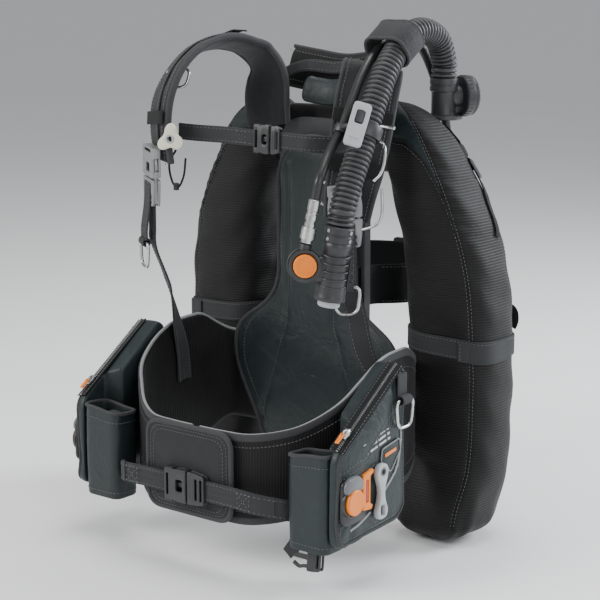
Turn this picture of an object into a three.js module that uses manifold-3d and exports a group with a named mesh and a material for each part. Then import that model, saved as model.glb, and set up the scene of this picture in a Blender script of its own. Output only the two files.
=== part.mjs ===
// A back-inflation buoyancy compensator vest for scuba diving, standing on the lower ends of its air cell.
// Millimetres, +Z up. The wearer faces -Y, so the wearer's left side is +X.
// The design frame has X = 0 on the vest's mid-plane, Y = 0 where the cushion meets the plate,
// and Z = 0 on the floor.
import * as THREE from "three";
import { mergeVertices } from "three/addons/utils/BufferGeometryUtils.js";
import Module from "manifold-3d";

// ---------- driving dimensions ----------
const GAP = 0.4; // clearance between pieces that touch
const WING = { halfWidth: 236, inner: 112, front: 7.4, toe: -18, back: 108, corner: 32 };
const YOKE_CELL = { bottom: 440, top: 520, back: 72 };
const PLATE = { halfWidth: 66, bottom: 92, top: 505, front: 8, thickness: 12, corner: 34 };
const PLATE_SLOT = { x: 56, height: 54, width: 9 };
const PAD = { thickness: 18, neckHalf: 56, flareHalf: 130, footHalf: 84, top: 486, bottom: 84 };
const TANK = { radius: 93, bandWidth: 50, bandThick: 2.6, bandHeight: 300 };
const STRAP = { width: 74, thickness: 12 };
const WEB = 2.4; // thickness of all webbing
const SHOULDER_BUCKLE = { width: 40, thickness: 11, socket: 38, plug: 34, wall: 2.2, webbing: 25 };
const STERNUM_BUCKLE = { width: 34, thickness: 9, socket: 24, plug: 14, wall: 1.8, webbing: 20 };
const WAIST_BUCKLE = { width: 40, thickness: 11, socket: 34, plug: 26, wall: 2.2, webbing: 25 };
const HOSE = { radius: 15, cuff: 17, cuffLength: 20 };
const LP_HOSE = { radius: 5.5, coupler: 7, collar: 8.6, collarLength: 14 };
const BAND = { thickness: 6, height: 168, backHeight: 116, frontHeight: 106 };
const POCKET = { inner: 166.8, outer: 204, front: -228, back: -98, bottom: 56, frontTop: 166, backTop: 256 };
const SLEEVE = { inner: 131, outer: 187, front: -230, back: -190, bottom: 48, top: 158, wall: 3 };
const RING = { wire: 4, bore: 3.4, width: 38, height: 36 };
const BUTTON = { inflate: 13.6, deflate: 13, deflateTravel: 5, release: 15 };

// ---------- small helpers ----------
const wasm = await Module();
wasm.setup();
const V = (x, y, z) => new THREE.Vector3(x, y, z);
const UP = V(0, 0, 1);
const FORWARD = V(0, -1, 0);
const mirrored = (p, side) => V(p.x * side, p.y, p.z);

function signedVolume(points, index) {
  let sum = 0;
  for (let i = 0; i < index.length; i += 3) {
    sum += points[index[i]].dot(points[index[i + 1]].clone().cross(points[index[i + 2]]));
  }
  return sum / 6;
}

// Joins rings of points, each with as many points as the next, into one closed solid with flat ends.
function loft(rings) {
  const count = rings[0].length;
  const points = rings.flat();
  const index = [];
  rings.slice(1).forEach((_, k) => {
    for (let i = 0; i < count; i += 1) {
      const a = k * count + i;
      const b = k * count + ((i + 1) % count);
      index.push(a, b, a + count, b, b + count, a + count);
    }
  });
  [0, rings.length - 1].forEach((k) => {
    const centre = rings[k].reduce((sum, p) => sum.add(p), V(0, 0, 0)).divideScalar(count);
    points.push(centre);
    for (let i = 0; i < count; i += 1) {
      const edge = [k * count + i, k * count + ((i + 1) % count)];
      index.push(points.length - 1, ...(k === 0 ? edge.reverse() : edge));
    }
  });
  if (signedVolume(points, index) < 0) index.reverse();
  const made = new THREE.BufferGeometry().setFromPoints(points);
  made.setIndex(index);
  return made;
}

// A geometry as a manifold-3d solid, and back.
function toSolid(geometry, matrix) {
  const bare = new THREE.BufferGeometry();
  bare.setAttribute("position", geometry.getAttribute("position").clone());
  if (geometry.index) bare.setIndex(geometry.index.clone());
  if (matrix) bare.applyMatrix4(matrix);
  const merged = mergeVertices(bare, 1e-3);
  return new wasm.Manifold(
    new wasm.Mesh({
      numProp: 3,
      vertProperties: merged.attributes.position.array,
      triVerts: new Uint32Array(merged.index.array),
    }),
  );
}

function toGeometry(made) {
  const mesh = made.getMesh();
  const geometry = new THREE.BufferGeometry();
  geometry.setAttribute("position", new THREE.BufferAttribute(Float32Array.from(mesh.vertProperties), 3));
  geometry.setIndex(new THREE.BufferAttribute(Uint32Array.from(mesh.triVerts), 1));
  return geometry;
}

const cut = (geometry, ...tools) =>
  toGeometry(tools.reduce((left, tool) => left.subtract(toSolid(tool)), toSolid(geometry)));
const join = (geometry, ...more) =>
  toGeometry(more.reduce((left, piece) => left.add(toSolid(piece)), toSolid(geometry)));
const box = (w, d, h, x = 0, y = 0, z = 0) => new THREE.BoxGeometry(w, d, h).translate(x, y, z);

// A cylinder from one point to another.
function rod(from, to, radius, sides = 16, endRadius = radius) {
  const axis = to.clone().sub(from);
  const turn = new THREE.Quaternion().setFromUnitVectors(V(0, 1, 0), axis.clone().normalize());
  const middle = from.clone().add(to).multiplyScalar(0.5);
  return new THREE.CylinderGeometry(endRadius, radius, axis.length(), sides)
    .applyQuaternion(turn)
    .translate(middle.x, middle.y, middle.z);
}

// An outline extruded by a depth, centred on its own plane.
function slab(shape, depth, curveSegments = 6) {
  const settings = { depth, bevelEnabled: false, curveSegments };
  return new THREE.ExtrudeGeometry(shape, settings).translate(0, 0, -depth / 2);
}

function roundedRect(width, height, radius) {
  const [w, h, r] = [width / 2, height / 2, Math.min(radius, width / 2.01, height / 2.01)];
  const shape = new THREE.Shape();
  shape.absarc(w - r, h - r, r, 0, Math.PI / 2);
  shape.absarc(-w + r, h - r, r, Math.PI / 2, Math.PI);
  shape.absarc(-w + r, -h + r, r, Math.PI, 1.5 * Math.PI);
  shape.absarc(w - r, -h + r, r, 1.5 * Math.PI, 2 * Math.PI);
  shape.closePath();
  return shape;
}

function holeIn(shape, hole) {
  shape.holes.push(new THREE.Path(hole.getPoints(6)));
  return shape;
}

// The section of a flat band: half its width and thickness, with corners rounded when it is padded.
function bandSection(width, thickness, padded) {
  const [w, t] = [width / 2, thickness / 2];
  if (!padded) return [[-w, -t], [w, -t], [w, t], [-w, t]];
  return [[-w + t, -t], [w - t, -t], [w, 0], [w - t, t], [-w + t, t], [-w, 0]];
}

// A band that follows a curve. faces gives the way its outer side looks, at even steps along the curve
// or from its tangent. An upright band stands on edge instead.
function ribbon(points, faces, width, thickness, options = {}) {
  const { steps = 24, padded = false, upright = false, taper = () => 1 } = options;
  const curve = new THREE.CatmullRomCurve3(points, false, "centripetal");
  const section = bandSection(width, thickness, padded);
  const look = (t, along) => {
    if (typeof faces === "function") return faces(along);
    const place = t * (faces.length - 1);
    const k = Math.min(Math.floor(place), faces.length - 2);
    return faces.length === 1 ? faces[0] : faces[k].clone().lerp(faces[k + 1], place - k);
  };
  const rings = [];
  for (let i = 0; i <= steps; i += 1) {
    const t = i / steps;
    const along = curve.getTangentAt(t);
    const across = upright ? UP.clone() : along.clone().cross(look(t, along)).normalize();
    const out = across.clone().cross(along).normalize();
    const centre = curve.getPointAt(t);
    rings.push(
      section.map(([a, b]) =>
        centre.clone().addScaledVector(across, a * taper(t)).addScaledVector(out, b),
      ),
    );
  }
  return loft(rings);
}

// A round hose along a curve.
function tube(points, radius, sides, steps) {
  const circle = new THREE.Shape().absarc(0, 0, radius, 0, 2 * Math.PI);
  const extrudePath = new THREE.CatmullRomCurve3(points, false, "centripetal");
  const settings = { steps, extrudePath, curveSegments: sides / 2, bevelEnabled: false };
  return new THREE.ExtrudeGeometry(circle, settings);
}

// A frame at a point: local x runs along one way and local z looks out of the face.
function placed(mesh, at, along, out) {
  const x = along.clone().normalize();
  const y = out.clone().cross(x).normalize();
  const z = x.clone().cross(y);
  mesh.quaternion.setFromRotationMatrix(new THREE.Matrix4().makeBasis(x, y, z));
  mesh.position.copy(at);
  return mesh;
}

const finish = (color, roughness, metalness = 0) =>
  new THREE.MeshStandardMaterial({ color, roughness, metalness });
const MATERIALS = {
  shell: finish(0x141416, 0.85),
  slate: finish(0x2c3a3a, 0.6),
  webbing: finish(0x1d2222, 0.8),
  mesh: finish(0x19191b, 0.9),
  plastic: finish(0x22282a, 0.4),
  silver: finish(0x8e93a8, 0.35),
  clip: finish(0x6d7076, 0.4),
  hose: finish(0x2e3638, 0.45),
  steel: finish(0xb8bcc2, 0.2, 1),
  orange: finish(0xf28a1c, 0.4),
  ivory: finish(0xe8e6da, 0.45),
  plate: finish(0x101214, 0.5),
};

const vest = new THREE.Group();
function add(name, geometry, material) {
  const mesh = new THREE.Mesh(geometry, MATERIALS[material]);
  mesh.name = name;
  vest.add(mesh);
  return mesh;
}

// ---------- the air cell: two lobes and the cell that joins them behind the neck ----------
// Each level gives the height, the lobe's inner and outer X, and its front and back Y.
const LOBE_LEVELS = [
  [0, WING.inner + 12, WING.halfWidth - 20, WING.toe + 4, WING.back - 34],
  [10, WING.inner + 5, WING.halfWidth - 12, WING.toe, WING.back - 22],
  [46, WING.inner, WING.halfWidth - 4, WING.toe + 4, WING.back - 10],
  [100, WING.inner, WING.halfWidth, WING.front, WING.back],
  [270, WING.inner, WING.halfWidth, WING.front, WING.back],
  [340, WING.inner - 4, WING.halfWidth - 8, WING.front - 4, WING.back - 2],
  [400, WING.inner - 14, WING.halfWidth - 28, WING.front - 7, WING.back - 8],
  [450, WING.inner - 28, WING.halfWidth - 52, WING.front - 7, WING.back - 18],
  [495, WING.inner - 42, WING.halfWidth - 80, WING.front - 5, WING.back - 34],
  [530, WING.inner - 48, WING.halfWidth - 112, WING.front + 1, WING.back - 52],
];

function lobe(side) {
  const rings = LOBE_LEVELS.map(([z, x0, x1, y0, y1]) => {
    const outline = roundedRect(x1 - x0, y1 - y0, WING.corner).getPoints(3);
    outline.pop();
    return outline.map((p) => V(side * (p.x + (x0 + x1) / 2), p.y + (y0 + y1) / 2, z));
  });
  return loft(rings);
}

function yokeCell() {
  const { bottom, top, back } = YOKE_CELL;
  const front = PLATE.front + PLATE.thickness + 4;
  const outline = roundedRect(back - front, top - bottom, 16);
  return new THREE.ExtrudeGeometry(outline, { depth: 190, bevelEnabled: false, curveSegments: 3 })
    .translate(0, 0, -95)
    .rotateX(Math.PI / 2)
    .rotateZ(Math.PI / 2)
    .translate(0, (front + back) / 2, (top + bottom) / 2);
}

// Flat seats on the cell, for the elbow on the left shoulder and the dump valve low on the right.
const ELBOW = { x: 130, y: 80, seat: 506, seatRadius: 25, flange: 23, top: 556 };
const REAR_VALVE = { x: -175, z: 104, seat: WING.back + 3, radius: 25 };
const valveAt = (y) => V(REAR_VALVE.x, y, REAR_VALVE.z);
const elbowAt = (z) => V(ELBOW.x, ELBOW.y, z);
const elbowSeat = rod(elbowAt(470), elbowAt(ELBOW.seat), ELBOW.seatRadius, 20);
const elbowRoom = rod(elbowAt(ELBOW.seat), elbowAt(ELBOW.top), ELBOW.seatRadius, 20);
const valveFoot = REAR_VALVE.radius + 5;
const valveSeat = rod(valveAt(WING.back - 28), valveAt(REAR_VALVE.seat), valveFoot, 20, valveFoot - 2);
const cells = join(lobe(1), lobe(-1), yokeCell(), elbowSeat, valveSeat);
add("wing_bladder", cut(cells, elbowRoom), "shell");

// ---------- the hard backpack plate and its cushion ----------
const PLATE_BACK = PLATE.front + PLATE.thickness;
function plateGeometry() {
  const height = PLATE.top - PLATE.bottom;
  const shape = roundedRect(2 * PLATE.halfWidth, height, PLATE.corner);
  const middle = (PLATE.top + PLATE.bottom) / 2;
  const slotPoints = roundedRect(PLATE_SLOT.width, PLATE_SLOT.height, 2).getPoints(2);
  const moved = (points, x, y) => new THREE.Path(points.map((p) => p.clone().add(new THREE.Vector2(x, y))));
  const slotZ = TANK.bandHeight - middle;
  [-1, 1].forEach((side) => shape.holes.push(moved(slotPoints, side * PLATE_SLOT.x, slotZ)));
  return slab(shape, PLATE.thickness, 4)
    .rotateX(Math.PI / 2)
    .translate(0, PLATE.front + PLATE.thickness / 2, middle);
}
add("backpack_plate", plateGeometry(), "plate");

// The cushion is a column that flares over the lower back.
function padOutline() {
  const { neckHalf, flareHalf, footHalf, top, bottom } = PAD;
  const shape = new THREE.Shape();
  shape.moveTo(-footHalf + 24, bottom);
  shape.lineTo(footHalf - 24, bottom);
  shape.quadraticCurveTo(footHalf, bottom, footHalf + 6, bottom + 26);
  shape.bezierCurveTo(flareHalf - 20, 150, flareHalf, 176, flareHalf, 208);
  shape.bezierCurveTo(flareHalf, 262, neckHalf + 6, 246, neckHalf, 312);
  shape.lineTo(neckHalf, top - neckHalf);
  shape.absarc(0, top - neckHalf, neckHalf, 0, Math.PI);
  shape.lineTo(-neckHalf, 312);
  shape.bezierCurveTo(-neckHalf - 6, 246, -flareHalf, 262, -flareHalf, 208);
  shape.bezierCurveTo(-flareHalf, 176, -flareHalf + 20, 150, -footHalf - 6, bottom + 26);
  shape.quadraticCurveTo(-footHalf, bottom, -footHalf + 24, bottom);
  return shape;
}
const PAD_BACK = -2;
const padGeometry = slab(padOutline(), PAD.thickness, 7).rotateX(Math.PI / 2);
add("back_pad", padGeometry.translate(0, PAD_BACK - PAD.thickness / 2, 0), "slate");

// ---------- the tank band, its frame and its cam lever ----------
const TANK_CENTRE = V(0, PLATE_BACK + 1 + TANK.radius, TANK.bandHeight);
// The band runs round the tank, in through the plate's slots and across the plate's front.
function bandLoop() {
  const reach = TANK.radius + 1 + TANK.bandThick / 2;
  const front = (PAD_BACK + PLATE.front) / 2 + 1;
  const through = [[0.4, front], [40, front], [51, front + 0.6], [PLATE_SLOT.x, 10], [PLATE_SLOT.x, 22]];
  const round = [];
  for (let k = 0; k <= 12; k += 1) {
    const angle = (-0.29 + (k * 1.58) / 12) * Math.PI;
    round.push([reach * Math.cos(angle), TANK_CENTRE.y + reach * Math.sin(angle)]);
  }
  const flat = [...through, ...round, ...through.map(([x, y]) => [-x, y]).reverse()];
  const path = flat.map(([x, y]) => V(x, y, TANK.bandHeight));
  return ribbon(path, [], TANK.bandWidth, TANK.bandThick, { steps: 60, upright: true });
}
add("tank_band", bandLoop(), "webbing");

const CAM_Y = TANK_CENTRE.y + TANK.radius + TANK.bandThick + 1;
const camFrame = slab(holeIn(roundedRect(66, 58, 6), roundedRect(46, 38, 3)), 6, 3).rotateX(Math.PI / 2);
add("cam_buckle_frame", camFrame, "plastic").position.set(0, CAM_Y + 3 + GAP, TANK.bandHeight);
// The lever lies on the frame, and swings open about the upright pin at one side.
const leverPlate = slab(roundedRect(64, 52, 8), 5, 3).translate(32, 0, 2.5);
const camLever = join(leverPlate, rod(V(0, -25, 3), V(0, 25, 3), 3, 12)).rotateX(-Math.PI / 2);
add("cam_buckle_lever", camLever, "plastic").position.set(-30, CAM_Y + 6 + 2 * GAP, TANK.bandHeight);

// ---------- collar, yoke and grab handle at the neck ----------
const COLLAR_PATH = [V(-36, 18, 541), V(-20, 22, 538), V(0, 24, 536), V(20, 22, 538), V(36, 18, 541)];
add("collar_pad", ribbon(COLLAR_PATH, [V(0, -1, 0.3)], 34, 15, { steps: 10, padded: true }), "slate");
const YOKE_PATH = [V(-82, 50, 566), V(-46, 52, 561), V(0, 54, 556), V(46, 52, 561), V(82, 50, 566)];
add("shoulder_yoke", ribbon(YOKE_PATH, [V(0, -1, 0.25)], 52, 15, { steps: 12, padded: true }), "shell");
const GRAB = { half: 40, back: YOKE_CELL.back + 30, z: 478 };
const GRAB_SIDE = [
  [GRAB.half, YOKE_CELL.back + GAP],
  [GRAB.half - 3, YOKE_CELL.back + 18],
  [GRAB.half - 16, GRAB.back - 3],
];
const GRAB_PATH = [
  ...GRAB_SIDE.map(([x, y]) => V(-x, y, GRAB.z)),
  V(0, GRAB.back, GRAB.z),
  ...GRAB_SIDE.map(([x, y]) => V(x, y, GRAB.z)).reverse(),
];
add("grab_handle", ribbon(GRAB_PATH, [], 25, 3, { steps: 16, upright: true }), "webbing");

// ---------- shoulder straps ----------
const STRAP_PATH = {
  right: [
    [-70, -9, 494], [-73, -9, 520], [-80, -2, 556], [-92, -2, 582], [-110, -34, 597], [-124, -78, 590],
    [-132, -112, 564], [-135, -132, 530], [-134, -138, 490], [-132, -134, 456],
  ].map((p) => V(...p)),
  left: [
    [70, -9, 494], [73, -9, 520], [79, -4, 550], [84, -4, 566], [90, -12, 571], [94, -22, 558],
    [94, -30, 535], [94, -39, 500], [93, -48, 460], [91, -57, 425], [90, -62, 396],
  ].map((p) => V(...p)),
};
const strapFaces = (side) => [
  V(side * 0.2, 1, -0.2), V(side * 0.1, 0.8, 0.5), V(side * 0.2, 0, 1), V(side * 0.4, -0.6, 0.6),
  V(side * 0.5, -0.87, 0.1), V(side * 0.5, -0.87, 0.05), V(side * 0.5, -0.87, 0),
];
const narrowAtEnds = (t) => 0.62 + 0.38 * Math.sin(Math.PI * Math.min(1, 0.12 + 0.8 * t));
Object.entries(STRAP_PATH).forEach(([name, points]) => {
  const side = name === "left" ? 1 : -1;
  const padded = { steps: 26, padded: true, taper: narrowAtEnds };
  const strap = ribbon(points, strapFaces(side), STRAP.width, STRAP.thickness, padded);
  add(`shoulder_strap_${name}`, strap, "slate");
});

// ---------- a side-release buckle ----------
// In its own frame the webbing runs along Y and the parts meet at Y = 0, with the plug below.
const PRONG = 3.6;
function prongDepth({ socket, wall }) {
  return socket - 4 * wall - 3;
}
function socketGeometry(size) {
  const { width, thickness, socket, wall, webbing } = size;
  const depth = prongDepth(size) + 2;
  const inside = box(width - 2 * wall, depth, thickness - 2 * wall, 0, depth / 2);
  const windows = box(width + 2, 9, thickness - 2 * wall, 0, depth * 0.55);
  const slot = box(webbing + 1, 3, thickness + 2, 0, socket - wall - 1.5);
  const shell = slab(roundedRect(width, socket, 3), thickness, 2).translate(0, socket / 2 + GAP / 2, 0);
  return cut(shell, inside, windows, slot);
}
function plugGeometry(size) {
  const { width, thickness, plug, wall, webbing } = size;
  const body = slab(roundedRect(width, plug, 4), thickness, 2).translate(0, -plug / 2 - GAP / 2, 0);
  const reach = prongDepth(size);
  const prongHeight = thickness - 2 * wall - 1.2;
  const prongX = width / 2 - wall - 0.6 - PRONG / 2;
  const prongs = [-1, 1].map((side) => box(PRONG, reach + 3, prongHeight, side * prongX, reach / 2 - 1.5));
  const tunnel = box(webbing + 0.8, plug * 2, WEB + 0.8, 0, -plug / 2);
  return cut(join(body, ...prongs), tunnel);
}

// ---------- a steel ring on a bar, and the webbing keeper that it swings in ----------
// The bar lies along X through the origin, and the ring hangs down -Y in the plane of X and Y.
function ringGeometry() {
  const { wire, width, height } = RING;
  const outline = holeIn(roundedRect(width, height, 9), roundedRect(width - 2 * wire, height - 2 * wire, 5));
  return slab(outline, wire, 3).translate(0, wire / 2 - height / 2, 0);
}
function keeperGeometry(length) {
  const size = 2 * RING.bore + 2 * WEB;
  const block = box(length, size, size);
  return cut(block, rod(V(-length, 0, 0), V(length, 0, 0), RING.bore, 12));
}
const KEEPER_LENGTH = RING.width - 2 * RING.wire - 12;

// A geometry moved so that its x runs along one way and its z looks another.
function oriented(geometry, at, along, out) {
  const frame = placed(new THREE.Object3D(), at, along, out);
  frame.updateMatrix();
  return geometry.clone().applyMatrix4(frame.matrix);
}

// ---------- the shoulder buckles, the adjusting tails with their rings, and the lower straps ----------
const CHAIN = {
  right: { meet: V(-141, -148, 438), down: V(-0.06, 0.06, -1), out: V(-0.5, -0.87, 0) },
  left: { meet: V(96, -73, 400), down: V(0.06, -0.02, -1), out: V(0.5, -0.87, 0) },
};
const LOWER_END = {
  right: [V(-150, -112, 300), V(-153, -92, 240), V(-156.5, -80, 206), V(-157.2, -76, 168)],
  left: [V(106, -67, 290), V(126, -74, 240), V(151, -76, 206), V(157.2, -76, 168)],
};
Object.entries(CHAIN).forEach(([name, { meet, down, out }]) => {
  const side = name === "left" ? 1 : -1;
  const y = down.clone().negate().normalize();
  const along = y.clone().cross(out).normalize();
  const z = along.clone().cross(y);
  const local = (a, b, c) =>
    meet.clone().addScaledVector(along, a).addScaledVector(y, b).addScaledVector(z, c);
  const { plug, thickness, webbing } = SHOULDER_BUCKLE;
  const put = (node, geometry, material) => placed(add(node, geometry, material), meet, along, z);
  put(`shoulder_socket_${name}`, socketGeometry(SHOULDER_BUCKLE), "silver");
  // the tail comes out of the plug's front and hangs down to its ring
  const front = thickness / 2;
  const pivot = local(0, -plug - 46, front + 5);
  const tailStart = [local(0, -6, front - 0.4), local(0, -plug, front + 1), local(0, -plug - 30, front + 5)];
  const tailPath = [...tailStart, pivot];
  const tail = ribbon(tailPath, [z], webbing, WEB, { steps: 8 });
  const plugPiece = oriented(plugGeometry(SHOULDER_BUCKLE), meet, along, z);
  const keeper = oriented(keeperGeometry(KEEPER_LENGTH), pivot, along, z);
  const bore = rod(
    pivot.clone().addScaledVector(along, -30),
    pivot.clone().addScaledVector(along, 30),
    RING.bore,
    12,
  );
  add(`shoulder_plug_${name}`, cut(join(plugPiece, tail, keeper), bore), "silver");
  placed(add(`tail_ring_${name}`, ringGeometry(), "steel"), pivot, along, z);
  const lower = [...[-3, -40, -plug - 30, -plug - 46].map((b) => local(0, b, 0)), ...LOWER_END[name]];
  const faces = [z, z, z, z, z.clone().lerp(V(side, 0, 0), 0.5), V(side, -0.1, 0), V(side, 0, 0)];
  add(`lower_strap_${name}`, ribbon(lower, faces, webbing, WEB, { steps: 26 }), "webbing");
});

// ---------- sternum strap ----------
const STERNUM = { meet: V(14, -108, 489), along: V(0.998, 0.04, -0.03) };
function sternum() {
  const x = STERNUM.along.clone().normalize();
  const out = V(0, -1, 0);
  const y = x.clone().negate(); // the socket is on the wearer's right
  const across = y.clone().cross(out).normalize();
  const z = across.clone().cross(y);
  const local = (b) => STERNUM.meet.clone().addScaledVector(y, b);
  const put = (node, geometry) => placed(add(node, geometry, "plastic"), STERNUM.meet, across, z);
  put("sternum_socket", socketGeometry(STERNUM_BUCKLE));
  put("sternum_plug", plugGeometry(STERNUM_BUCKLE));
  const { socket, webbing } = STERNUM_BUCKLE;
  const rightStart = [local(socket + 2 * GAP), local(socket + 20), local(socket + 42)];
  const rightPath = [...rightStart, V(-96, -120, 492), V(-117, -124, 493)];
  const leftPath = [local(-2), local(-36), local(-52), V(88, -84, 486), V(97, -58, 485)];
  add("sternum_webbing_right", ribbon(rightPath, [z], webbing, WEB, { steps: 12 }), "webbing");
  add("sternum_webbing_left", ribbon(leftPath, [z], webbing, WEB, { steps: 12 }), "webbing");
}
sternum();

// ---------- waistband ----------
const BAND_PATH = [
  [44, 3, 166], [122, 3.2, 166], [144, -1, 166], [157, -22, 166], [161.4, -48, 166],
  [162.6, -75, 165], [163, -104, 161], [161.6, -132, 153], [154, -158, 142], [132, -182, 130],
  [104, -206, 120], [72, -224, 115], [38, -230, 115], [6, -231, 115],
].map((p) => V(...p));
const { lerp, smoothstep } = THREE.MathUtils;
const bandTaper = (t) => {
  const back = lerp(BAND.backHeight / BAND.height, 1, smoothstep(t, 0.21, 0.34));
  return back * lerp(1, BAND.frontHeight / BAND.height, smoothstep(t, 0.4, 0.74));
};
[-1, 1].forEach((side) => {
  const name = side > 0 ? "left" : "right";
  const path = BAND_PATH.map((p) => mirrored(p, side));
  const padded = { steps: 26, padded: true, upright: true, taper: bandTaper };
  add(`waistband_${name}`, ribbon(path, [], BAND.height, BAND.thickness, padded), "shell");
});

const PANEL = { left: -71, right: 60, bottom: 62, top: 168, back: -235, thickness: 6 };
const panelShape = roundedRect(PANEL.right - PANEL.left, PANEL.top - PANEL.bottom, 20);
const waistPanel = add("waist_panel", slab(panelShape, PANEL.thickness, 4).rotateX(Math.PI / 2), "slate");
const panelX = (PANEL.left + PANEL.right) / 2;
const panelZ = (PANEL.top + PANEL.bottom) / 2;
waistPanel.position.set(panelX, PANEL.back - PANEL.thickness / 2, panelZ);

// The waist buckle lies on the panel, with its socket on the wearer's right.
const WAIST = { x: 2, y: PANEL.back - PANEL.thickness - WAIST_BUCKLE.thickness / 2 - GAP, z: 98 };
function waist() {
  const at = V(WAIST.x, WAIST.y, WAIST.z);
  const put = (node, geometry) => placed(add(node, geometry, "plastic"), at, UP, FORWARD);
  put("waist_socket", socketGeometry(WAIST_BUCKLE));
  put("waist_plug", plugGeometry(WAIST_BUCKLE));
  const { socket, webbing } = WAIST_BUCKLE;
  const side = [V(100, -244, 96), V(118, -232, 92), V(SLEEVE.inner - 3.2, -220, 88)];
  const beside = (x) => V(WAIST.x + x, WAIST.y, WAIST.z);
  const leftPath = [beside(3), beside(40), beside(76), ...side];
  const start = -socket - 2 * GAP;
  const rightPath = [beside(start), beside(start - 34), ...side.map((p) => mirrored(p, -1))];
  const along = (sign) => (tangent) => V(0, 0, sign).cross(tangent);
  add("waist_webbing_left", ribbon(leftPath, along(-1), webbing, WEB, { steps: 18 }), "webbing");
  add("waist_webbing_right", ribbon(rightPath, along(1), webbing, WEB, { steps: 18 }), "webbing");
}
waist();

// ---------- the zipped pockets with the weight releases, the weight sleeves and their cassettes ----------
const POCKET_SLOPE = Math.atan2(POCKET.backTop - POCKET.frontTop, POCKET.back - POCKET.front);
const RELEASE = { y: -203, z: 112, width: 46, height: 54, thickness: 5 };
const HIP_RING = V(POCKET.outer + 5.4, -112, 208);
const ZIP = { x: 196, y: -206, proud: 3.6 }; // the slider's place when the pocket is shut
function pocketGeometry() {
  const shape = new THREE.Shape();
  const { front, back, bottom, frontTop, backTop } = POCKET;
  shape.moveTo(front, bottom + 12);
  shape.quadraticCurveTo(front, bottom, front + 12, bottom);
  shape.lineTo(back - 22, bottom + 10);
  shape.quadraticCurveTo(back, bottom + 12, back, bottom + 34);
  shape.lineTo(back, backTop - 16);
  shape.quadraticCurveTo(back, backTop, back - 12, backTop - 9);
  shape.lineTo(front, frontTop);
  shape.closePath();
  const depth = POCKET.outer - POCKET.inner;
  const body = new THREE.ExtrudeGeometry(shape, { depth, bevelEnabled: false, curveSegments: 4 })
    .applyMatrix4(new THREE.Matrix4().makeBasis(V(0, 1, 0), V(0, 0, 1), V(1, 0, 0)))
    .translate(POCKET.inner, 0, 0);
  const outside = (x) => V(POCKET.outer + x, RELEASE.y - 6, RELEASE.z);
  const baseX = POCKET.outer - 2 + RELEASE.thickness / 2;
  const base = box(RELEASE.thickness + 4, RELEASE.width, RELEASE.height, baseX, RELEASE.y, RELEASE.z);
  const keeper = oriented(keeperGeometry(KEEPER_LENGTH), HIP_RING, V(0, 1, 0), V(1, 0, 0));
  const sleeveRoom = box(60, 60, 200, SLEEVE.outer + GAP - 30, SLEEVE.back + GAP - 30, SLEEVE.top - 60);
  const well = rod(outside(-2), outside(20), BUTTON.release + GAP, 20);
  const bore = rod(HIP_RING.clone().add(V(0, -20, 0)), HIP_RING.clone().add(V(0, 20, 0)), RING.bore, 12);
  return cut(join(body, base, keeper), sleeveRoom, well, bore);
}
function mirroredGeometry(geometry, side) {
  if (side > 0) return geometry;
  const flipped = toSolid(geometry).mirror([1, 0, 0]);
  return toGeometry(flipped);
}
function sleeveGeometry() {
  const { inner, outer, front, back, bottom, top, wall } = SLEEVE;
  const [x, y, z] = [(inner + outer) / 2, (front + back) / 2, (top + bottom) / 2];
  const shell = slab(roundedRect(outer - inner, back - front, 10), top - bottom, 3).translate(x, y, z);
  const room = slab(roundedRect(outer - inner - 2 * wall, back - front - 2 * wall, 7), top - bottom, 3);
  return cut(shell, room.translate(x, y, z + wall));
}
function cassetteGeometry() {
  const { inner, outer, front, back, bottom, top, wall } = SLEEVE;
  const [w, d] = [outer - inner - 2 * wall - 2 * GAP, back - front - 2 * wall - 2 * GAP];
  const height = top - bottom - wall - 12;
  return slab(roundedRect(w, d, 7), height, 3)
    .translate((inner + outer) / 2, (front + back) / 2, bottom + wall + GAP + height / 2);
}
// The pull handle is a bone-shaped toggle, held against the pocket's side.
function handleGeometry() {
  const shape = new THREE.Shape();
  shape.absarc(0, 22, 11, -0.9, Math.PI + 0.9, false);
  shape.bezierCurveTo(-5, 6, -5, -6, -7, -14);
  shape.absarc(0, -22, 11, Math.PI - 0.9, 2 * Math.PI + 0.9, false);
  shape.bezierCurveTo(5, -6, 5, 6, 7, 14);
  return slab(holeIn(shape, new THREE.Path().absarc(0, 24, 4, 0, 2 * Math.PI)), 9, 6);
}
[-1, 1].forEach((side) => {
  const name = side > 0 ? "left" : "right";
  const both = (node, geometry, material) =>
    add(`${node}_${name}`, mirroredGeometry(geometry, side), material);
  both("pocket", pocketGeometry(), "slate");
  both("weight_sleeve", sleeveGeometry(), "shell");
  both("weight_cassette", cassetteGeometry(), "mesh");
  const handle = oriented(handleGeometry(), V(POCKET.outer + GAP + 5, -158, 112), V(0, 1, 0), V(1, 0, 0));
  both("pull_handle", handle, "ivory");
  const pressed = (x) => V(POCKET.outer + x, RELEASE.y - 6, RELEASE.z);
  both("release_button", rod(pressed(2.5), pressed(10.5), BUTTON.release, 20), "orange");
  const [run, rise] = [Math.cos(POCKET_SLOPE), Math.sin(POCKET_SLOPE)];
  const zipHeight = POCKET.frontTop + (ZIP.y - POCKET.front) * (rise / run);
  const sliderAt = V(ZIP.x, ZIP.y, zipHeight + ZIP.proud);
  const slider = join(box(14, 9, 5), box(9, 5, 3.4, 0, 0, 4));
  both("zipper_slider", oriented(slider, sliderAt, V(0, run, rise), V(0, -rise, run)), "steel");
  both("hip_ring", oriented(ringGeometry(), HIP_RING, V(0, 1, 0), V(1, 0, 0)), "steel");
});

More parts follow.
